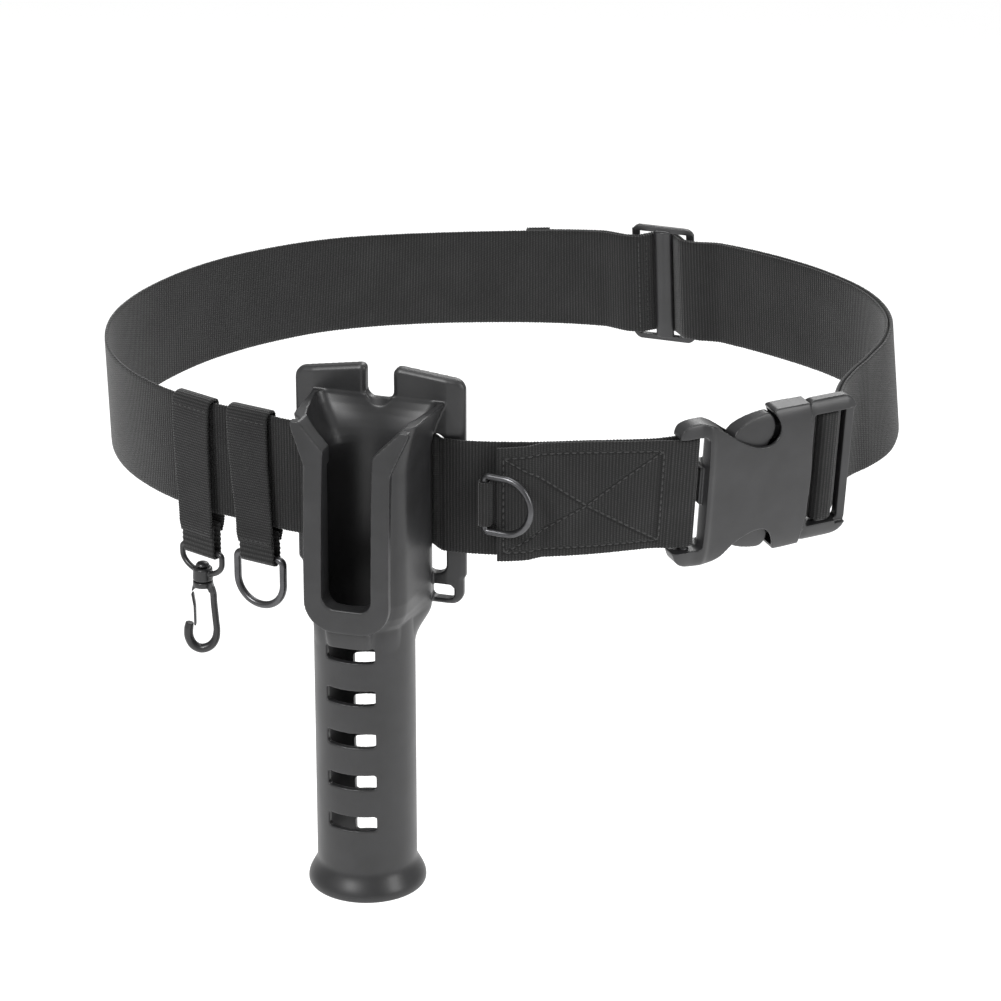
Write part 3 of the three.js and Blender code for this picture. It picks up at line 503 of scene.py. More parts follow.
def pair_at(s):
    at, out, _ = waist_at(s)
    return at + out * (HALF_PAIR + detour(s))


def layer_at(s, side, lift=0.0):
    t = (pair_at(s + 0.3) - pair_at(s - 0.3)).normalized()
    return pair_at(s) + Vector((-t.y, t.x, 0)) * (side * HALF_PAIR + lift)


def lane(start, end, side, lift=lambda s: 0.0):
    steps = math.ceil(abs(end - start))
    stations = [start + (end - start) * i / steps for i in range(steps + 1)]
    return [layer_at(s, side, lift(s)) for s in stations]


TAB_RISE, TAB_LAP = 2.6, 11.0
BAR_WRAP = BAR_RADIUS + CLEAR + WEB_THICK / 2
S_BAR_FLAT = S_SOCKET + 1.2


def parting(s):
    return (BAR_WRAP - HALF_PAIR) * (1 - ease(S_BAR_FLAT, S_BAR_FLAT + 16, s))


def fold_lift(s):
    return parting(s) + TAB_RISE * ease(S_FOLD_END - TAB_LAP - 8, S_FOLD_END - TAB_LAP, s)


BAR_OUTER = layer_at(S_BAR_FLAT, 1, fold_lift(S_BAR_FLAT))
BAR_INNER = layer_at(S_BAR_FLAT, -1, -parting(S_BAR_FLAT))
SOCKET_BAR = (BAR_OUTER + BAR_INNER) / 2
CHORD = (SOCKET_BAR.x, SOCKET_BAR.y, BUCKLE[2])
MIDDLE_BAR = (64.6, 67.4)
PLUG_WEAVE = [(70.35, 3.55), (68.9, 3.15), *arc2(MIDDLE_BAR[0], 0, BAR_WRAP, 90, 270, 12),
              *arc2(MIDDLE_BAR[1], 0, BAR_WRAP, 270, 330, 6), (71.3, 0.8)]


def plug_path():
    knots = [(*in_plan(CHORD, x, y), 0) for x, y in PLUG_WEAVE]
    ends = [layer_at(LENGTH - 2, -1), layer_at(LENGTH - 2, 1)]
    return [Vector(p) for p in catmull([tuple(ends[0]), *knots, tuple(ends[1])], 8)]


def socket_path():
    half = BAR_OUTER - SOCKET_BAR
    forward = Vector((-half.y, half.x, 0))
    turn = [math.pi * (i + 1) / 24 for i in range(23)]
    return [SOCKET_BAR + half * math.cos(t) + forward * math.sin(t) for t in turn]


HEM_LENGTH = 11.0


def hem_path():
    outer, far = layer_at(S_HEM, 1), layer_at(S_HEM, 1, 2 * HALF_PAIR)
    middle = (outer + far) / 2
    half = far - middle
    way = Vector((-half.y, half.x, 0))
    turn = [math.pi * (i + 1) / 12 for i in range(11)]
    fold = [middle - half * math.cos(t) - way * math.sin(t) for t in turn]
    return [*fold, *lane(S_HEM, S_HEM + HEM_LENGTH, 1, lambda s: 2 * HALF_PAIR)]


# Webbing strips

def strip(points, across, width, thick, rib=RIB, edge=0.5, warp=None, seed=0):
    """A woven strip along dense points. across gives the strip's width direction at each point.
    Its ribs stand out of the faces and scallop the edges."""
    pts, at = resample([tuple(p) for p in points], rib / 2)
    rng = random.Random(seed)
    n = len(pts)
    faces_v = [-1, -0.93, -0.6, -0.2, 0.2, 0.6, 0.93, 1]
    verts, faces, maps = [], [], []
    ring = len(faces_v) * 2 + 4
    for i in range(n):
        here = Vector(pts[i])
        way = (Vector(pts[min(i + 1, n - 1)]) - Vector(pts[max(i - 1, 0)])).normalized()
        side = across(here)
        out = side.cross(way).normalized()
        crest = i % 2
        half = (thick / 2) * (1.0 if crest else 0.86)
        w = (width(i / (n - 1)) if callable(width) else width) / 2
        reach = w - (0 if crest else edge * 0.45) - rng.random() * 0.12
        shift = warp(at[i]) if warp else 0.0
        face = [(v * (reach - half * 0.8), half * (1 if abs(v) < 1 else 0.93)) for v in faces_v]
        back = [(a, -b) for a, b in reversed(face)]
        lip, low = reach - half * 0.15, half * 0.55
        for a, b in [*face, (lip, low), (lip, -low), *back, (-lip, -low), (-lip, low)]:
            verts.append(here + side * (a + shift) + out * b)
            maps.append((at[i], a))
    for i in range(n - 1):
        for j in range(ring):
            k = (j + 1) % ring
            faces.append([i * ring + j, i * ring + k, (i + 1) * ring + k, (i + 1) * ring + j])
    faces.append(list(range(ring)))
    faces.append([(n - 1) * ring + j for j in range(ring)])
    mesh = bpy.data.meshes.new("strip")
    mesh.from_pydata([tuple(v) for v in verts], [], faces)
    layer = mesh.uv_layers.new(name="strip")
    index = np.zeros(len(mesh.loops), np.int32)
    mesh.loops.foreach_get("vertex_index", index)
    layer.data.foreach_set("uv", np.array(maps, np.float32)[index].ravel())
    return in_scene(mesh)


YAW = math.radians(BUCKLE[2])
OUTWARD = Vector((math.sin(YAW), -math.cos(YAW), 0))
BAR_AXIS = UP * math.cos(BUCKLE_LEAN) + OUTWARD * math.sin(BUCKLE_LEAN)


def strap_up(here):
    """The webbing's upward direction: the waist line's lean, and the bars' own beside the buckle."""
    _, out, lean = waist_at(along(here.x, here.y))
    own = UP * math.cos(lean) - out * math.sin(lean)
    from_bar = here - SOCKET_BAR
    side = from_bar.dot(OUTWARD)
    flat = from_bar - OUTWARD * side
    x = math.copysign(flat.length, flat.x)
    near = (1 - ease(8, 52, max(-x, x - BUCKLE_LENGTH))) * (1 - ease(40, 90, abs(side)))
    return own.lerp(BAR_AXIS, near).normalized()


# Stitches: short threads laid on a surface, given as (place, way, normal) at each

def stitches(marks, length=2.3, radius=0.3):
    verts, faces = [], []
    stations = [(-0.5, 0.25), (-0.36, 0.8), (-0.12, 1.0), (0.12, 1.0), (0.36, 0.8), (0.5, 0.25)]
    sides = 6
    for place, way, normal in marks:
        side = normal.cross(way).normalized()
        base = len(verts)
        for t, size in stations:
            rise = 0.55 * size - 0.35
            for angle in turns(sides):
                verts.append(place + way * (t * length) + side * (radius * size * math.cos(angle))
                             + normal * (radius * (size * 0.8 * math.sin(angle) + rise)))
        for i in range(len(stations) - 1):
            a = base + i * sides
            b = a + sides
            faces += [[a + j, a + (j + 1) % sides, b + (j + 1) % sides, b + j] for j in range(sides)]
        faces.append([base + j for j in range(sides)])
        faces.append([base + (len(stations) - 1) * sides + j for j in range(sides)])
    return raw(verts, faces)


def seam_marks(surface, path, pitch=3.0):
    """Stitch places along a path of surface coordinates."""
    dense = []
    for (a0, b0), (a1, b1) in zip(path[:-1], path[1:]):
        count = max(int(math.hypot(a1 - a0, b1 - b0) / 0.5), 1)
        dense += [(a0 + (a1 - a0) * k / count, b0 + (b1 - b0) * k / count) for k in range(count)]
    dense.append(path[-1])
    even, _ = resample(dense, pitch)
    marks = []
    for i in range(len(even) - 1):
        a, b = even[i], even[i + 1]
        mid = (a + b) / 2
        p, n = surface(mid[0], mid[1])
        q0, _ = surface(*(mid + (b - a) * -0.3))
        q1, _ = surface(*(mid + (b - a) * 0.3))
        marks.append((p, (q1 - q0).normalized(), n))
    return marks


# The box seam with its cross, on the folded end: millimetres from the fold end and from mid-height
BOX_TOP, BOX_LOW = 20.6, -21.2
BOX_NEAR, BOX_FAR = 2.6, 68.0
CROSS = (36.8, -3.0)
CORNERS = [(BOX_NEAR, BOX_TOP), (BOX_FAR, BOX_TOP), (BOX_FAR, BOX_LOW), (BOX_NEAR, BOX_LOW)]
BOX_LINES = list(zip(CORNERS, CORNERS[1:] + CORNERS[:1])) + [(corner, CROSS) for corner in CORNERS]
RIDGE = 71.6

WEB = webbing_material("webbing_black", 0.0075, 0.034, BOX_LINES)
WEB_SMALL = webbing_material("webbing_loops", 0.0075, 0.034, pitch=1.15)
THREAD = thread_material("thread_black", 0.012)
HOLDER_PLASTIC = plastic_material("moulded_satin", 0.012, 0.017, 0.4, 0.1)
BUCKLE_PLASTIC = plastic_material("moulded_buckle", 0.013, 0.019, 0.36, 0.08)
HOOK_PLASTIC = plastic_material("moulded_hook", 0.01, 0.015, 0.32, 0.06)
RING_METAL = metal_material("ring_black_nickel", 0.085, 0.3)


def belt_points():
    def ridge(s):
        return fold_lift(s) + 0.34 * math.exp(-(((S_FOLD_END - RIDGE - s) / 0.8) ** 2))
    steps = math.ceil((S_FOLD_END - S_BAR_FLAT) / 0.5)
    front = [layer_at(s, 1, ridge(s)) for s in np.linspace(S_FOLD_END, S_BAR_FLAT, steps + 1)]
    return [
        *front, *socket_path(), *lane(S_BAR_FLAT, LENGTH - 4, -1, lambda s: -parting(s)), *plug_path(),
        *lane(LENGTH - 4, S_HEM, 1), *hem_path(),
    ]


def belt_warp(at):
    """The sewn end hangs a little low, and the edges wander slightly."""
    droop = -1.0 * (1 - ease(0, 22, at))
    return droop + 0.12 * math.sin(at / 37.0) + 0.08 * math.sin(at / 13.0)


IDENTITY = Matrix.Identity(4)
belt = strip(belt_points(), strap_up, WEB_WIDTH, WEB_THICK, warp=belt_warp, seed=1)
settled(belt, "webbing_belt", IDENTITY, "belt", "webbing", WEB, "belt_webbing")


def fold_surface(u, v):
    s = S_FOLD_END - u
    t = (layer_at(s + 0.3, 1, fold_lift(s + 0.3)) - layer_at(s - 0.3, 1, fold_lift(s - 0.3))).normalized()
    base = layer_at(s, 1, fold_lift(s))
    up = strap_up(base)
    n = up.cross(t).normalized()
    return base + n * (WEB_THICK / 2 - 0.12) + up * (v + belt_warp(u)), n


def layer_surface(s, v, side, lift=0.0):
    _, out, lean = waist_at(s)
    base = layer_at(s, side, lift)
    n = (out * math.cos(lean) + UP * math.sin(lean)) * side
    return base + n * (WEB_THICK / 2 - 0.05) + strap_up(base) * v, n


def inner_surface(s, v):
    return layer_surface(s, v, -1)


def hem_surface(s, v):
    return layer_surface(s, v, 1, 2 * HALF_PAIR)


belt_marks = seam_marks(fold_surface, CORNERS + CORNERS[:1])
for corner in CORNERS:
    belt_marks += seam_marks(fold_surface, [corner, CROSS])
belt_marks += seam_marks(fold_surface, [(RIDGE, 23.0), (RIDGE, -23.5)], 2.2)
for offset in (-8.6, -11.4):
    belt_marks += seam_marks(inner_surface, [(S_GLIDE + offset, 22.5), (S_GLIDE + offset, -22.5)], 2.6)
belt_marks += seam_marks(hem_surface, [(S_HEM + 7.6, 22.5), (S_HEM + 7.6, -22.5)], 2.8)
settled(stitches(belt_marks), "stitching_belt", IDENTITY, "belt", "webbing", THREAD)


# D-rings: a straight bar on top at z 0 and a bow that hangs to -drop

def ring_wire(half, drop, corner, shoulder, radius):
    top = [(half - corner - (2 * half - 2 * corner) * i / 8, 0.0) for i in range(9)]
    left = arc2(-half + corner, -corner, corner, 90, 180, 10)[1:]
    bow = []
    for i in range(41):
        t = math.radians(180 + 180 * i / 40)
        bow.append((half * math.cos(t), -shoulder + (drop - shoulder) * math.sin(t)))
    right = arc2(half - corner, -corner, corner, 0, 90, 10)[:-1]
    even, _ = resample([*top, *left, *bow, *right, top[0]], 0.7)
    return wire([(x, 0, z) for x, z in even[:-1]], radius, 20, closed=True)


# Ring tab under the sewn end, and its D-ring

TAB = {"thick": 0.9, "half": 10.0, "lap": 8.0}
BELT_RING = {"wire": 1.5, "half": 12.3, "reach": 21.0, "level": 5.2, "tilt": 20.0}


def tab_points():
    s0 = S_FOLD_END

    def level(lift, s):
        return layer_at(s, -1, WEB_THICK / 2 + CLEAR + lift)
    low = TAB["thick"] / 2 + 0.15
    high = TAB["thick"] * 1.5 + CLEAR + 0.15
    bar = BELT_RING["wire"] + CLEAR + TAB["thick"] / 2
    under = [level(low, s0 - TAB["lap"]), level(low, s0 - 2), level(low, s0 + 1), level(low + 0.6, s0 + 3)]
    centre = level(BELT_RING["level"] - 0.8, s0 + 5)
    half = level(BELT_RING["level"] - 0.8 - bar, s0 + 5) - centre
    way = Vector((-half.y, half.x, 0))
    wrap = []
    for i in range(27):
        t = math.radians(20 + 8.7 * i)
        wrap.append(centre + half * math.cos(t) + way * math.sin(t))
    over = [level(high + 1.3, s0 + 2.1), level(high + 0.1, s0 + 0.9), level(high, s0 - TAB["lap"])]
    return centre, [*under, *wrap, *over]


tab_centre, tab_line = tab_points()
tab = strip(tab_line, lambda here: UP, 2 * TAB["half"], TAB["thick"], rib=1.0, edge=0.35, seed=2)
settled(tab, "webbing_ring_tab", IDENTITY, "belt", "webbing", WEB_SMALL, "ring_tab")

_, tab_out, _ = waist_at(S_FOLD_END + 5)
ring_yaw = math.degrees(math.atan2(-tab_out.x, tab_out.y)) + 180
ring_place = placed(tab_centre.x, tab_centre.y, 0, ring_yaw)
ring_place = ring_place @ Matrix.Rotation(math.radians(-BELT_RING["tilt"]), 4, "Z")
ring_place = ring_place @ Matrix.Rotation(math.radians(-90), 4, "Y")
belt_ring = ring_wire(BELT_RING["half"], BELT_RING["reach"], 1.8, 9.0, BELT_RING["wire"])
settled(belt_ring, "d_ring_belt", ring_place, "belt_ring", "ring_metal", RING_METAL, "belt_d_ring")


# Webbing loops over the belt, each with a panel and a ribbed tab that holds its hardware

LOOP_THICK, LOOP_TOP, LOOP_ASIDE = 1.2, 20.6, 1.4
SIDEWAYS = Vector((1, 0, 0))


def loop_place(s):
    at, out, _ = waist_at(s)
    return placed(at.x, at.y, 0, math.degrees(math.atan2(out.x, -out.y)))


def lower_share(z):
    return min(max((25 - z) / 59, 0), 1)


def loop_pieces(label, s, bar, cinch, replaced, seed):
    """The front layer stands off the belt and slants toward the bar, where a ribbed tab holds it."""
    bar_out, bar_z, aside, web = bar["out"], bar["z"], bar["aside"], bar["web"]
    wrap = bar["wire"] + CLEAR + LOOP_THICK / 2
    behind = -WEB_THICK / 2 - CLEAR - LOOP_THICK / 2 - 0.9
    lip = bar_out + wrap + LOOP_THICK + 0.15
    run = catmull([
        (bar_out - wrap - 1.4, cinch + 1.0), (behind + 0.4, -29), (behind - 0.1, -26), (behind, -10),
        (behind, 12), (behind, 24.4), (behind + 0.5, 26.1), (0, 26.7), (2.2, 26.3), (3.5, 25.2), (4.2, 22),
        (4.9, 10), (5.2, -8), (5.4, -24), (lip, cinch + 3), (lip - 0.1, cinch),
    ], 10)
    tab_run = catmull([
        (bar_out + wrap - 0.3, cinch + 5), (bar_out + wrap, cinch), (bar_out + wrap, bar_z + 1),
        *arc2(bar_out, bar_z, wrap, 0, -180, 16), (bar_out - wrap, bar_z + 2.6),
        (bar_out - wrap - 0.1, cinch + 5),
    ], 10)
    place = loop_place(s)
    even, _ = resample(run, LOOP_THICK / 3)

    def middle(z):
        return LOOP_ASIDE + (aside - LOOP_ASIDE) * lower_share(z)

    def path(points):
        return [Vector((middle(z), -out, z)) for out, z in points]

    def width(share):
        z = even[min(int(share * (len(even) - 1)), len(even) - 1)][1]
        return LOOP_TOP + (web - LOOP_TOP) * lower_share(z) - 0.9 * (1 - ease(cinch, cinch + 5, z))
    panel = strip(path(run), lambda here: SIDEWAYS, width, LOOP_THICK, rib=1.15, edge=0.4,
                  warp=lambda at: 0.25 * math.sin(at / 17.0), seed=seed)
    settled(panel, "loop_panel_" + label, place, "belt", "webbing", WEB_SMALL, replaced)
    lower = strip(path(tab_run), lambda here: SIDEWAYS, web - 0.4, LOOP_THICK, rib=2.1, edge=0.8,
                  seed=seed + 1)
    settled(lower, "loop_tab_" + label, place, "belt", "webbing", WEB_LOOP_TAB)
    front = run[len(run) // 2:]
    front = front[np.argsort(front[:, 1])]

    def surface(across, level):
        out = float(np.interp(level, front[:, 1], front[:, 0]))
        return Vector((middle(level) + across, -out - LOOP_THICK / 2 + 0.05, level)), Vector((0, -1, 0))
    marks = []
    for level, half in ((cinch + 1.8, web / 2 - 1.6), (22.4, 9.2)):
        marks += seam_marks(surface, [(-half, level), (half, level)], 2.5)
    settled(stitches(marks, 1.9, 0.24), "stitching_loop_" + label, place, "belt", "webbing", THREAD)
    return place


WEB_LOOP_TAB = webbing_material("webbing_tab", 0.0085, 0.034, pitch=2.1)
HOOK = {"out": 2.2, "z": -42.6, "wire": 1.25, "half": 11.3, "aside": 4.0, "web": 18.6}
RING = {"out": 2.2, "z": -39.2, "wire": 1.6, "half": 11.5, "aside": 5.4, "web": 18.0}
hook_place = loop_pieces("hook", S_HOOK_LOOP, HOOK, -34.0, "hook_loop", 3)
hang_place = loop_pieces("ring", S_RING_LOOP, RING, -32.4, "ring_loop", 5)

hanging = ring_wire(RING["half"], 22.3, 2.0, 11.0, RING["wire"])
hanging_at = hang_place @ placed(RING["aside"], -RING["out"], RING["z"])
settled(hanging, "d_ring_hanging", hanging_at, "hanging_ring", "ring_metal", RING_METAL, "hanging_d_ring")


# Swivel eye and hook

SHANK_RADIUS, SHANK_HOLE, BOSS_RADIUS = 1.6, 2.0, 4.4
BOSS_TOP, BOSS_FOOT = -8.2, -14.2
HOOK_VOXEL = 0.24
eye_at = hook_place @ placed(HOOK["aside"], -HOOK["out"], HOOK["z"])
eye = ring_wire(HOOK["half"], 11.0, 1.6, 4.0, HOOK["wire"])
joined(eye, lathe([
    (SHANK_HOLE, BOSS_FOOT), (BOSS_RADIUS - 0.5, BOSS_FOOT), (BOSS_RADIUS, BOSS_FOOT + 0.5),
    (BOSS_RADIUS - 0.2, BOSS_TOP - 0.6), (BOSS_RADIUS - 0.9, BOSS_TOP), (SHANK_HOLE, BOSS_TOP),
], 64))
cut(eye, drum(SHANK_HOLE, -18, -7.6, 48))
moulded(eye, HOOK_VOXEL, 4, 40000)
settled(eye, "swivel_eye", eye_at, "eye", "hard_plastic", HOOK_PLASTIC, "hook_eye")

HOOK_LINE = [
    (3.6, -17.7), (4.3, -20.5), (4.5, -25), (5.1, -33), (5.4, -38), (4.6, -42.2), (2.2, -45.4), (-1.6, -46.7),
    (-4.9, -45.2), (-6.7, -41.8), (-6.9, -38.2), (-6.3, -34.6),
]
hook_at = eye_at @ Matrix.Rotation(math.radians(33), 4, "Z")


def hook_radius(share):
    return 1.5 + 0.55 * ease(0.3, 0.62, share) - 0.2 * ease(0.93, 1.0, share)


UNDER, ABOVE = BOSS_FOOT - 0.35, BOSS_TOP + 0.35
hook = wire([(x, 0, z) for x, z in catmull(HOOK_LINE, 8)], hook_radius, 20)
head = lathe([
    (0.01, UNDER - 2.5), (4.3, UNDER - 2.5), (4.4, UNDER - 1.9), (4.4, UNDER - 0.3), (4.2, UNDER),
    (SHANK_RADIUS, UNDER), (SHANK_RADIUS, ABOVE), (2.6, ABOVE), (3.0, ABOVE + 0.6), (2.4, ABOVE + 1.5),
    (1.2, ABOVE + 2.0), (0.01, ABOVE + 2.1),
], 48)
yoke = prism(rounded([
    (-5.2, -20.3, 0.3), (-4.2, -15.8, 0.3), (4.2, -15.8, 0.3), (5.4, -20.3, 0.6), (2.6, -19.8, 0.5),
    (2.0, -18.0, 0.8), (-3.4, -18.0, 0.5),
]), -1.65, 1.65, "y")
joined(hook, head, yoke)
moulded(hook, HOOK_VOXEL, 4, 60000)
settled(hook, "swivel_hook", hook_at, "hook", "hard_plastic", HOOK_PLASTIC, "snap_hook")

gate = prism(rounded([
    (-5.2, -20.6, 0.3), (-4.2, -20.6, 0.3), (-3.4, -26.5, 1), (-3.4, -35.6, 0.3), (-4.2, -35.6, 0.3),
    (-4.3, -26.5, 1),
]), -1.4, 1.4, "y")
gate.modifiers.new("edge", "BEVEL").width = 0.18
evaluated(gate)
settled(gate, "hook_tongue", hook_at, "gate", "hard_plastic", HOOK_PLASTIC, "hook_gate")


# Rod holder: x runs along its plate, y from the cup's mouth back to the plate

TUBE = {"outer": 21.2, "inner": 18.5, "foot": -171.1, "rim": 25.1, "flare": 11.5}
MOUTH = {"low": 31.6, "high": 43.2, "front": -22.0, "tip": 22.0, "tip_out": 25.6, "root": 29.0}
CUP_FRONT, CUP_ROOT = -25.6, 23.1
GATE = {"half": 10.6, "foot": -35.8, "top": 58.0}
FRONT_SHIFT = 0.7
FLANGE = {"half": 18.4, "foot": -46.2, "corner": 13.0, "back": -21.8, "groove": 1.3}
PLATE = {"left": 37.3, "right": 36.6, "low_half": 35.6, "top": 54.2, "bottom": -49.2, "floor": 39.8}
PLATE_NOTCH = 6.0
CHAMFER, PLATE_BEND = 1.1, 29.0
VENT = {"half": 10.5, "high": 6.5, "top": -54.6, "pitch": 19.4, "count": 5}
# How far the front leans back, by height, and how far the cup's lower front corners are drawn in
LEAN_Z, LEAN_Y = (-25, 10, 26, 31, 41, 46), (0, 1.8, 3.4, 4.4, 6.4, 7.0)
DRAWN_Z, DRAWN_IN = (-47, -44.5, -41, -35), (7, 4, 1.5, 0)


def leant(verts, full, edge):
    """Moves points back by the front's lean: all of it at the depth full, none of it from edge on."""
    for vert in verts:
        share = min(max((edge - vert.co.y) / (edge - full), 0.0), 1.0)
        vert.co.y += float(np.interp(vert.co.z, LEAN_Z, LEAN_Y)) * share


def sliced(bm, levels, normal):
    """Adds edge rings where planes at the given levels cross the mesh."""
    for level in levels:
        geometry = bm.verts[:] + bm.edges[:] + bm.faces[:]
        bmesh.ops.bisect_plane(bm, geom=geometry, plane_co=Vector(normal) * level, plane_no=normal)


def cup_section(half_front, front, shoulder, half_side, half_root):
    """Plan outline of the cup's wall, anticlockwise from the middle of its front."""
    root = CUP_ROOT
    neck_x, neck_y = half_front + 0.7, front + 4.6
    shares = ((0.5, 0.25), (0.87, 0.6), (1, 1))
    bulge = [(neck_x + (shoulder - neck_x) * a, neck_y + (-8 - neck_y) * b) for a, b in shares]
    right = [
        (0, front), (half_front * 0.6, front), (half_front - 2.2, front), (half_front - 0.6, front + 0.9),
        (half_front, front + 3.0), (neck_x, neck_y), *bulge, ((shoulder + half_side) / 2, 4), (half_side, 15),
        ((half_side + half_root) / 2, 19.5), (half_root, root - 1), (half_root, root),
        (half_root * 0.5, root), (0, root),
    ]
    line = catmull(right, 10)
    even, _ = resample(line, np.linalg.norm(np.diff(line, axis=0), axis=1).sum() / 90)
    even = even[:91]
    left = [(-x, y) for x, y in even[1:-1][::-1]]
    return [tuple(p) for p in even] + left


def toward(outline, radius, share):
    """An outline drawn in toward a circle of the given radius as share falls to 0."""
    out = []
    for x, y in outline:
        r = math.hypot(x, y)
        scale = share + (1 - share) * radius / r
        out.append((x * scale, y * scale))
    return out


def at_level(outline, z):
    return [(x, y, z) for x, y in outline]


def holder_cup():
    neck = FLANGE["half"] - FLANGE["groove"]

    def section(drawn):
        return cup_section(neck - drawn, CUP_FRONT + 2.6, 22.9 - drawn * 0.5, 24.3, 22.6)
    plain, low = section(0), section(DRAWN_IN[0])
    wide = cup_section(MOUTH["tip_out"] - 2.6, MOUTH["front"] + 0.4, 26.6, 28.4, MOUTH["root"])
    rings = []
    for i in range(13):
        z = -62 + 15 * i / 12
        rings.append(at_level(toward(low, TUBE["outer"] - 0.2, ease(-62, -47, z)), z))
    for z in (-46, -44.5, -43, -41, -38, -35, -25, -10, 10, 18):
        rings.append(at_level(section(float(np.interp(z, DRAWN_Z, DRAWN_IN))), z))
    start = 23.0
    for i in range(13):
        t = i / 12
        mix = t ** 1.4
        ring = [(a + (c - a) * mix, b + (d - b) * mix) for (a, b), (c, d) in zip(plain, wide)]
        rings.append(at_level(ring, start + (MOUTH["high"] - start) * t))
    cup = loft(rings)
    leant(cup.data.vertices, CUP_FRONT + 4, -6)
    for vert in cup.data.vertices:
        vert.co.z -= 0.035 * max(vert.co.y + 20, 0) * ease(36, MOUTH["high"], vert.co.z)
    return cup


def holder_funnel():
    right = [(20.2, -18.5, 8), (23.4, 3, 10), (26.9, 21.9, 4)]
    corners = rounded([(-20.2, -18.5, 8), *right, (-26.9, 21.9, 4), (-23.4, 3, 10)], 12)
    even, _ = resample([*corners, corners[0]], 1.2)
    wide = [tuple(p) for p in even[:-1]]
    levels = (20, 22, 25, 28, 31, 34, 37, 40.4, 46)
    shares = (0, 0.02, 0.12, 0.27, 0.46, 0.66, 0.83, 0.98, 1.07)
    funnel = loft([at_level(toward(wide, TUBE["inner"], share), z) for z, share in zip(levels, shares)])
    leant(funnel.data.vertices, -17, 0)
    return funnel


def holder_gate():
    """The front opening's outline: straight and round-footed below, a V above."""
    half, foot, top = GATE["half"], GATE["foot"], GATE["top"]
    middle, low = FRONT_SHIFT, MOUTH["low"]
    slant = (MOUTH["tip"] - half) / (MOUTH["high"] - low)
    wide = half + (top - low) * slant
    return rounded([
        (middle - half, foot, 5.5), (middle + half, foot, 5.5), (middle + half, low, 0.8),
        (middle + wide, top, 0), (middle - wide, top, 0), (middle - half, low, 0.8),
    ], 10)


def holder_flange():
    """The frame round the front opening: U-shaped below, spreading along the mouth's V above."""
    half, foot, corner = FLANGE["half"], FLANGE["foot"], FLANGE["corner"]
    right = [
        (half, foot, corner), (half, 24.5, 6), (half + 1.6, 28.5, 4), (MOUTH["tip_out"] - 0.6, 40.0, 4),
        (MOUTH["tip_out"] + 0.2, 43.2, 1.6), (MOUTH["tip"] - 1, 44.6, 1),
    ]
    outline = rounded([*right, *[(-x, z, r) for x, z, r in reversed(right)]], 10)
    flange = prism([(x + FRONT_SHIFT, z) for x, z in outline], CUP_FRONT, FLANGE["back"], "y")
    bm = bmesh.new()
    bm.from_mesh(flange.data)
    sliced(bm, (-25, -10, 0, 10, 18, 23, 26, 29, 32, 35, 38, 41), (0, 0, 1))
    leant(bm.verts, -19, -18)
    bm.to_mesh(flange.data)
    bm.free()
    return flange


def holder_tube():
    foot, inner, outer, rim = TUBE["foot"], TUBE["inner"], TUBE["outer"], TUBE["rim"]
    profile = [(inner, -40), (inner, foot + 7)]
    profile += [(inner + 1.9 * ease(0, 1, i / 8), foot + 7 - 6.6 * i / 8) for i in range(1, 9)]
    profile += [(inner + 2.6, foot), (rim - 1.4, foot)]
    for t in (math.radians(a) for a in (30, 60, 90)):
        profile.append((rim - 1.4 + 1.4 * math.sin(t), foot + 1.4 - 1.4 * math.cos(t)))
    for i in range(11):
        spread = (rim - outer) * (1 - ease(0, 1, i / 10))
        profile.append((outer + spread, foot + 2.0 + (TUBE["flare"] - 1.0) * i / 10))
    profile.append((outer, -40))
    return lathe(profile, 160)


def holder_plate():
    left, right, low_half, top, bottom, floor = PLATE.values()
    notch = PLATE_NOTCH
    left_top = top - (left - notch) * math.tan(math.radians(8.4))
    right_top = top - (right - notch) * math.tan(math.radians(5.8))
    outline = rounded([
        (notch, floor, 3.5), (notch, top + 0.3, 3.0), (right, right_top, 5), (right, -36.2, 1.5),
        (low_half, -38, 1.5), (low_half, bottom, 5), (-low_half, bottom, 5), (-low_half, -38, 1.5),
        (-left, -36.2, 1.5), (-left, left_top, 5), (-notch, top + 0.3, 2.4), (-notch, floor, 3.5),
    ], 8)
    plate = prism(outline, 22.1 + CHAMFER, 27.1, "y")
    bm = bmesh.new()
    bm.from_mesh(plate.data)
    front = min(bm.faces, key=lambda face: face.calc_center_median().y)
    bmesh.ops.inset_region(bm, faces=[front], thickness=1.5, depth=CHAMFER, use_even_offset=True)
    sliced(bm, (-PLATE_BEND, PLATE_BEND), (1, 0, 0))
    for vert in bm.verts:
        if vert.co.y < 25:
            vert.co.y += 0.15 * max(abs(vert.co.x) - PLATE_BEND, 0)
    bm.to_mesh(plate.data)
    bm.free()
    for side in (1, -1):
        a, b = sorted((side * SLOT["inner"], side * SLOT["outer"]))
        cut(plate, block(a, b, 18, 32, SLOT["low"], SLOT["high"], 4.4))
        a, b = sorted((side * 22.0, side * 31.9))
        cut(plate, block(a, b, 18, 32, -46.7, -40.4, 2.0))
    return plate


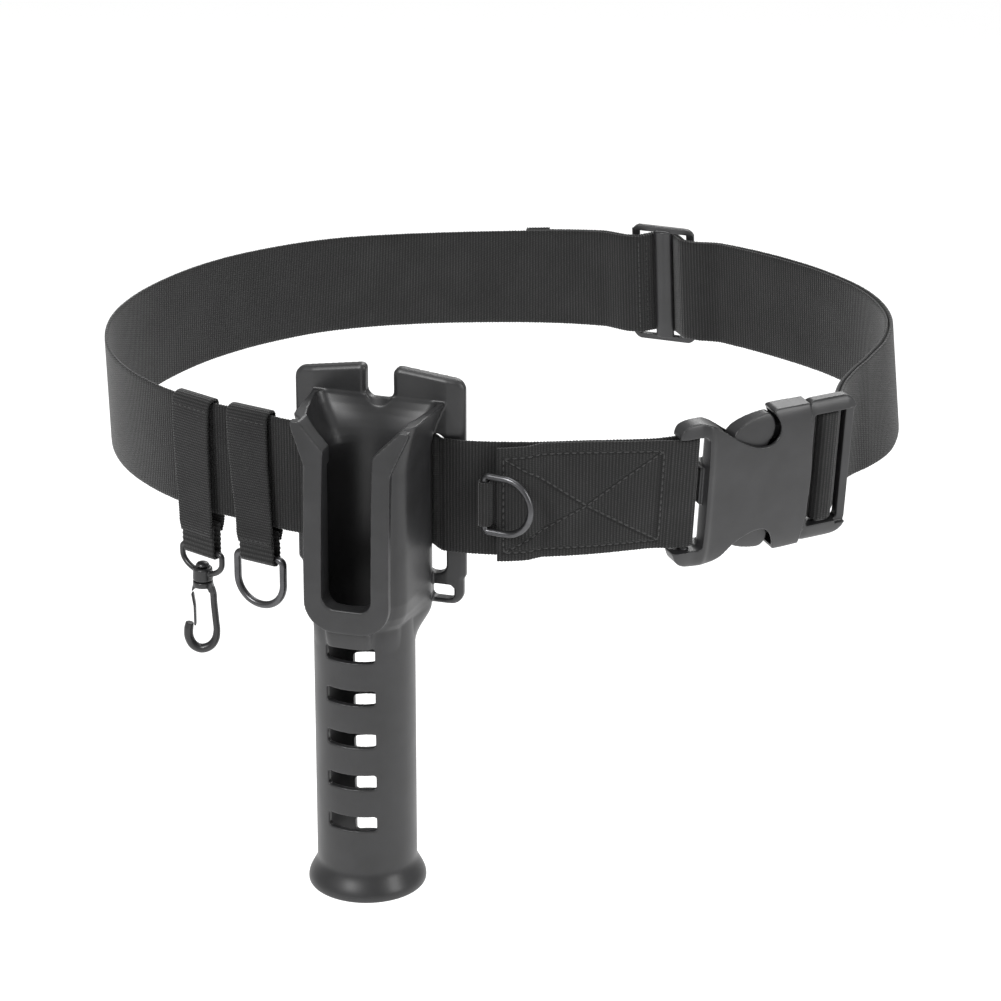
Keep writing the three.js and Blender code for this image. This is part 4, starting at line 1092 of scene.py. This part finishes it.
def rod_holder():
    cup = joined(holder_cup(), holder_flange())
    cut(cup, prism([(-40, 43.3), (-22, 43.0), (21.95, 41.5), (21.95, 60), (-40, 60)], -40, 40, "x"))
    cut(cup, holder_funnel())
    cut(cup, prism(holder_gate(), -40, -6, "y"))
    joined(cup, holder_tube())
    cut(cup, drum(TUBE["inner"], -75, 24.4, 128))
    joined(cup, holder_plate())
    throat = prism(oval(6.1, 6.6, 36, 0, 46.4), 15, 24.6, "y")
    for vert in throat.data.vertices:
        vert.co.z -= 0.85 * (24.6 - vert.co.y)
    cut(cup, throat)
    half, deep, pitch = VENT["half"], VENT["high"], VENT["pitch"]
    for i in range(VENT["count"]):
        high = VENT["top"] - pitch * i
        cut(cup, block(-half, half, -27, -6, high - deep, high, 1.2))
        high -= pitch
        cut(cup, block(-half, half, 6, 27, high - deep, high, 1.2))
    return moulded(cup, 0.46, 3, 190000)


holder_at = placed(*HOLDER)
settled(rod_holder(), "rod_holder_moulding", holder_at, "belt", "hard_plastic", HOLDER_PLASTIC, "rod_holder")


# Side-release buckle: x runs along its chord from the socket's bar to the plug, -y faces outward

SHELL = {"x0": 6.1, "high": 34.4, "thick": 7.2, "wall": 1.9}
RAIL = 27.2
BUCKLE_DROP = 0.9
BUCKLE_VOXEL = 0.34
SHELL_TOP = [
    (-6.8, 26), (-6.6, 29), (-5.2, 31.4), (-2.4, 32.7), (2.4, 33.0), (6, 32.3), (9.5, 30.8), (13.4, 28.2),
    (17, 25.4), (20.6, 22.8), (25.8, 20.0), (29.8, 18.5), (33.7, 18.2), (36.8, 19.2), (39.2, 21.8),
    (40.0, 24.9), (39.4, 28.1), (37.9, 31), (37.2, 32.6), (38.4, 33.3), (41, 33.4), (54.6, 33.2),
]
SHELL_MOUTH = [(55.4, 20), (56.2, 8), (56.4, 0), (56.1, -9), (55.3, -20)]
SHELL_LOW = [
    (54.2, -33), (43, -33.2), (41.4, -32.7), (40.6, -30.4), (39.9, -27.6), (38.6, -24.4), (36.3, -21.8),
    (33.3, -20.8), (29.4, -21.2), (24.4, -23.3), (20.7, -25.8), (18.2, -28.6), (15.5, -31.6), (11.5, -33.8),
    (7, -34.6), (2.4, -34.3), (-1.6, -33.2), (-5, -30.6), (-6.6, -27),
]
SHELL_THICK = [
    (-7.0, 3.4), (-6.0, 4.6), (-4.0, 5.3), (-1.0, 5.6), (3, 5.8), (5.6, 6.7), (7.2, 7.2), (9.4, 6.5),
    (12, 6.5), (18, 6.9), (30, 7.2), (45, 7.1), (58, 6.7),
]
PAD = [
    (17.8, 22.6), (20.2, 26.4), (25.1, 29.2), (31.4, 31.0), (35.6, 31.4), (37.2, 30.2), (38.3, 27.6),
    (38.4, 24.8), (37.4, 21.6),
]
PAD_INNER = [(34.5, 17.6), (30.0, 15.8), (24.0, 16.6), (19.4, 19.4)]
BLADE = [
    (57, 27.4), (50, 26.4), (44.5, 25.8), (40.6, 25.8), (30, 24.0), (24, 18.0), (36, 18.6), (44, 19.4),
    (52, 19.4), (57, 18),
]


def crown(thick, high, power):
    """A superellipse outline: the body's section, flatter for a higher power."""
    points = []
    for t in turns(96):
        c, d = math.cos(t), math.sin(t)
        y = math.copysign(thick * abs(c) ** (2 / power), c)
        points.append((y, math.copysign(high * abs(d) ** (2 / power), d)))
    return points


def crowned_body(levels, power):
    return loft([[(x, y, z) for y, z in crown(thick, high, power)] for x, thick, high in levels])


def buckle_socket():
    edge, high = SHELL["x0"], SHELL["high"]
    levels = [(x, thick, high + 0.6) for x, thick in (tuple(p) for p in catmull(SHELL_THICK, 3))]
    outline = [*catmull(SHELL_TOP, 4), *SHELL_MOUTH, *catmull(SHELL_LOW, 4)]
    body = crowned_body(levels, 3.2)
    boolean(body, prism([tuple(p) for p in outline], -12, 12, "y"), "INTERSECT")
    cut(body, block(-20, edge, -12, 12, -26.0, RAIL, 2.0))
    for a, b in ((-25.6, -5.6), (12.0, 25.6)):
        cut(body, prism([(3, -0.5), (edge, -0.5), (edge + 5.4, 8.8), (3, 8.8)], a, b, "z"))
    cut(body, prism(crown(SHELL["thick"] - SHELL["wall"], high - SHELL["wall"] - 1.6, 8), 12.5, 62, "x"))
    joined(body, prism(oval(BAR_RADIUS, BAR_RADIUS, 30), -RAIL - 1, RAIL + 1, "z"))
    joined(body, block(4.3, 8.2, -2.6, 4.0, -5.2, 11.6, 0.8))
    return moulded(body, BUCKLE_VOXEL, 3, 130000)


def plug_prong(side):
    """A side arm: a thin blade from the plug, and a thumb pad that fills the socket's scoop."""
    pad = prism([(x, side * z) for x, z in [*catmull(PAD, 4), *PAD_INNER]], -4.6, 4.6, "y")
    boolean(pad, crowned_body([(16, 4.9, 33.0), (60, 4.9, 33.0)], 2.6), "INTERSECT")
    return joined(pad, prism([(x, side * z) for x, z in BLADE], -2.3, 2.3, "y"))


def buckle_plug():
    frame_line = rounded([(55.2, -33, 2.5), (77.6, -33, 8.5), (77.9, 33, 6), (55.2, 33, 2.5)], 10)
    body = prism(frame_line, -7, 7, "y")
    skin = crowned_body([(54, 5.2, 33.2), (58, 5.8, 33.4), (74, 5.6, 33.4), (79, 4.8, 33.2)], 2.8)
    boolean(body, skin, "INTERSECT")
    cut(body, block(57.2, 73.8, -9, 9, -25.5, RAIL, 1.5))
    left, right = MIDDLE_BAR[0] - 2, MIDDLE_BAR[1] + 2
    bar = rounded([(left, -2, 1.9), (right, -2, 1.9), (right, 2, 1.9), (left, 2, 1.9)], 8)
    joined(body, prism(bar, -RAIL - 1, RAIL + 1, "z"))
    joined(body, block(24, 56.2, -1.6, 1.6, -4, 4, 1.0))
    joined(body, block(51, 56.2, -4.4, 4.4, -27, 27, 1.0))
    joined(body, block(54, 59.8, 0.6, 4.4, -RAIL - 0.5, RAIL + 0.5, 0.5))
    for side in (1, -1):
        joined(body, plug_prong(side))
    for x0, x1, y0, y1 in ((55, 58.6, -9, -4.6), (72, 80, -9, -2.2), (72, 80, 2.2, 9)):
        cut(body, block(x0, x1, y0, y1, -RAIL, RAIL))
    return moulded(body, BUCKLE_VOXEL, 3, 120000)


buckle_at = placed(CHORD[0], CHORD[1], -BUCKLE_DROP, CHORD[2]) @ Matrix.Rotation(BUCKLE_LEAN, 4, "X")
for build, node in ((buckle_socket, "buckle_socket"), (buckle_plug, "buckle_plug")):
    settled(build(), node + "_moulding", buckle_at, "belt", "hard_plastic", BUCKLE_PLASTIC, node)


# Tri-glide at the back

def tri_glide():
    half, high, window = GLIDE["half"], GLIDE["high"], GLIDE["window"]
    body = block(-half, half, -1.2, 1.2, -high, high, 4.5, 10)
    cut(body, block(-half - 2, half + 2, -5, 5, -window, window))
    for x, wide, back, front in ((0, 4.4, 1.4, 2.6), (-half + 2, 2, 1.2, 1.3), (half - 2, 2, 1.2, 1.3)):
        outline = []
        for t in turns(30):
            deep = back if math.sin(t) > 0 else front
            outline.append((x + wide * math.cos(t), deep * math.sin(t)))
        joined(body, prism(outline, -window - 0.5, window + 0.5, "z"))
    return moulded(body, 0.3, 3, 60000)


glide_at, glide_out, glide_lean = waist_at(S_GLIDE)
glide_centre = glide_at + glide_out * HALF_PAIR
glide_yaw = math.degrees(math.atan2(-glide_out.x, glide_out.y))
glide_place = placed(glide_centre.x, glide_centre.y, 0, glide_yaw) @ Matrix.Rotation(glide_lean, 4, "X")
settled(tri_glide(), "tri_glide_moulding", glide_place, "belt", "hard_plastic", BUCKLE_PLASTIC, "tri_glide")


# Studio: a plain pale floor well below the hanging belt, soft lights and the photo's camera

def studio_material():
    m = Nodes("floor_white")
    m.shader.inputs["Base Color"].default_value = (0.82, 0.82, 0.82, 1)
    m.shader.inputs["Roughness"].default_value = 0.9
    m.shader.inputs["Emission Color"].default_value = (1.0, 1.0, 1.0, 1)
    m.shader.inputs["Emission Strength"].default_value = 0.5
    m.feed("Normal", m.bump(m.noise(40, 2.0), 0.02, 0.001))
    return m.material


FLOOR_Z = -0.62
bpy.ops.mesh.primitive_plane_add(size=40, location=(0, 0, FLOOR_Z))
floor = bpy.context.object
floor.name = "studio_floor"
floor.data.materials.append(studio_material())

world = bpy.data.worlds.new("studio")
world.use_nodes = True
world.node_tree.nodes["Background"].inputs[0].default_value = (1.0, 1.0, 1.0, 1)
world.node_tree.nodes["Background"].inputs[1].default_value = 0.5
scene.world = world
scene.view_settings.view_transform = "Standard"


def softbox(name, place, aim, size, power):
    data = bpy.data.lights.new(name, "AREA")
    data.shape = "RECTANGLE"
    data.size, data.size_y = size
    data.energy = power
    lamp = bpy.data.objects.new(name, data)
    lamp.location = place
    lamp.rotation_euler = (Vector(aim) - Vector(place)).to_track_quat("-Z", "Y").to_euler()
    scene.collection.objects.link(lamp)


softbox("key_left", (-1.1, -1.5, 1.25), (-0.02, -0.1, -0.03), (0.6, 0.8), 34)
softbox("fill_right", (1.5, -1.1, 0.7), (0.03, -0.1, 0), (0.6, 1.1), 16)
softbox("top", (0.1, 0.1, 1.5), (0, 0, 0), (1.0, 1.0), 9)
softbox("rim_back", (0.5, 1.5, 0.9), (0, 0, 0), (0.9, 0.5), 8)

CAMERA_PITCH, CAMERA_FOCAL_PX, FRAME_PX = 22.7, 4300.0, 1001
camera_data = bpy.data.cameras.new("camera")
camera_data.sensor_width = 36.0
camera_data.lens = CAMERA_FOCAL_PX / FRAME_PX * 36.0
camera = bpy.data.objects.new("camera", camera_data)
camera.location = (0.0, -1.7761, 0.685755)
camera.rotation_euler = (math.radians(90 - CAMERA_PITCH), 0, 0)
scene.collection.objects.link(camera)
scene.camera = camera
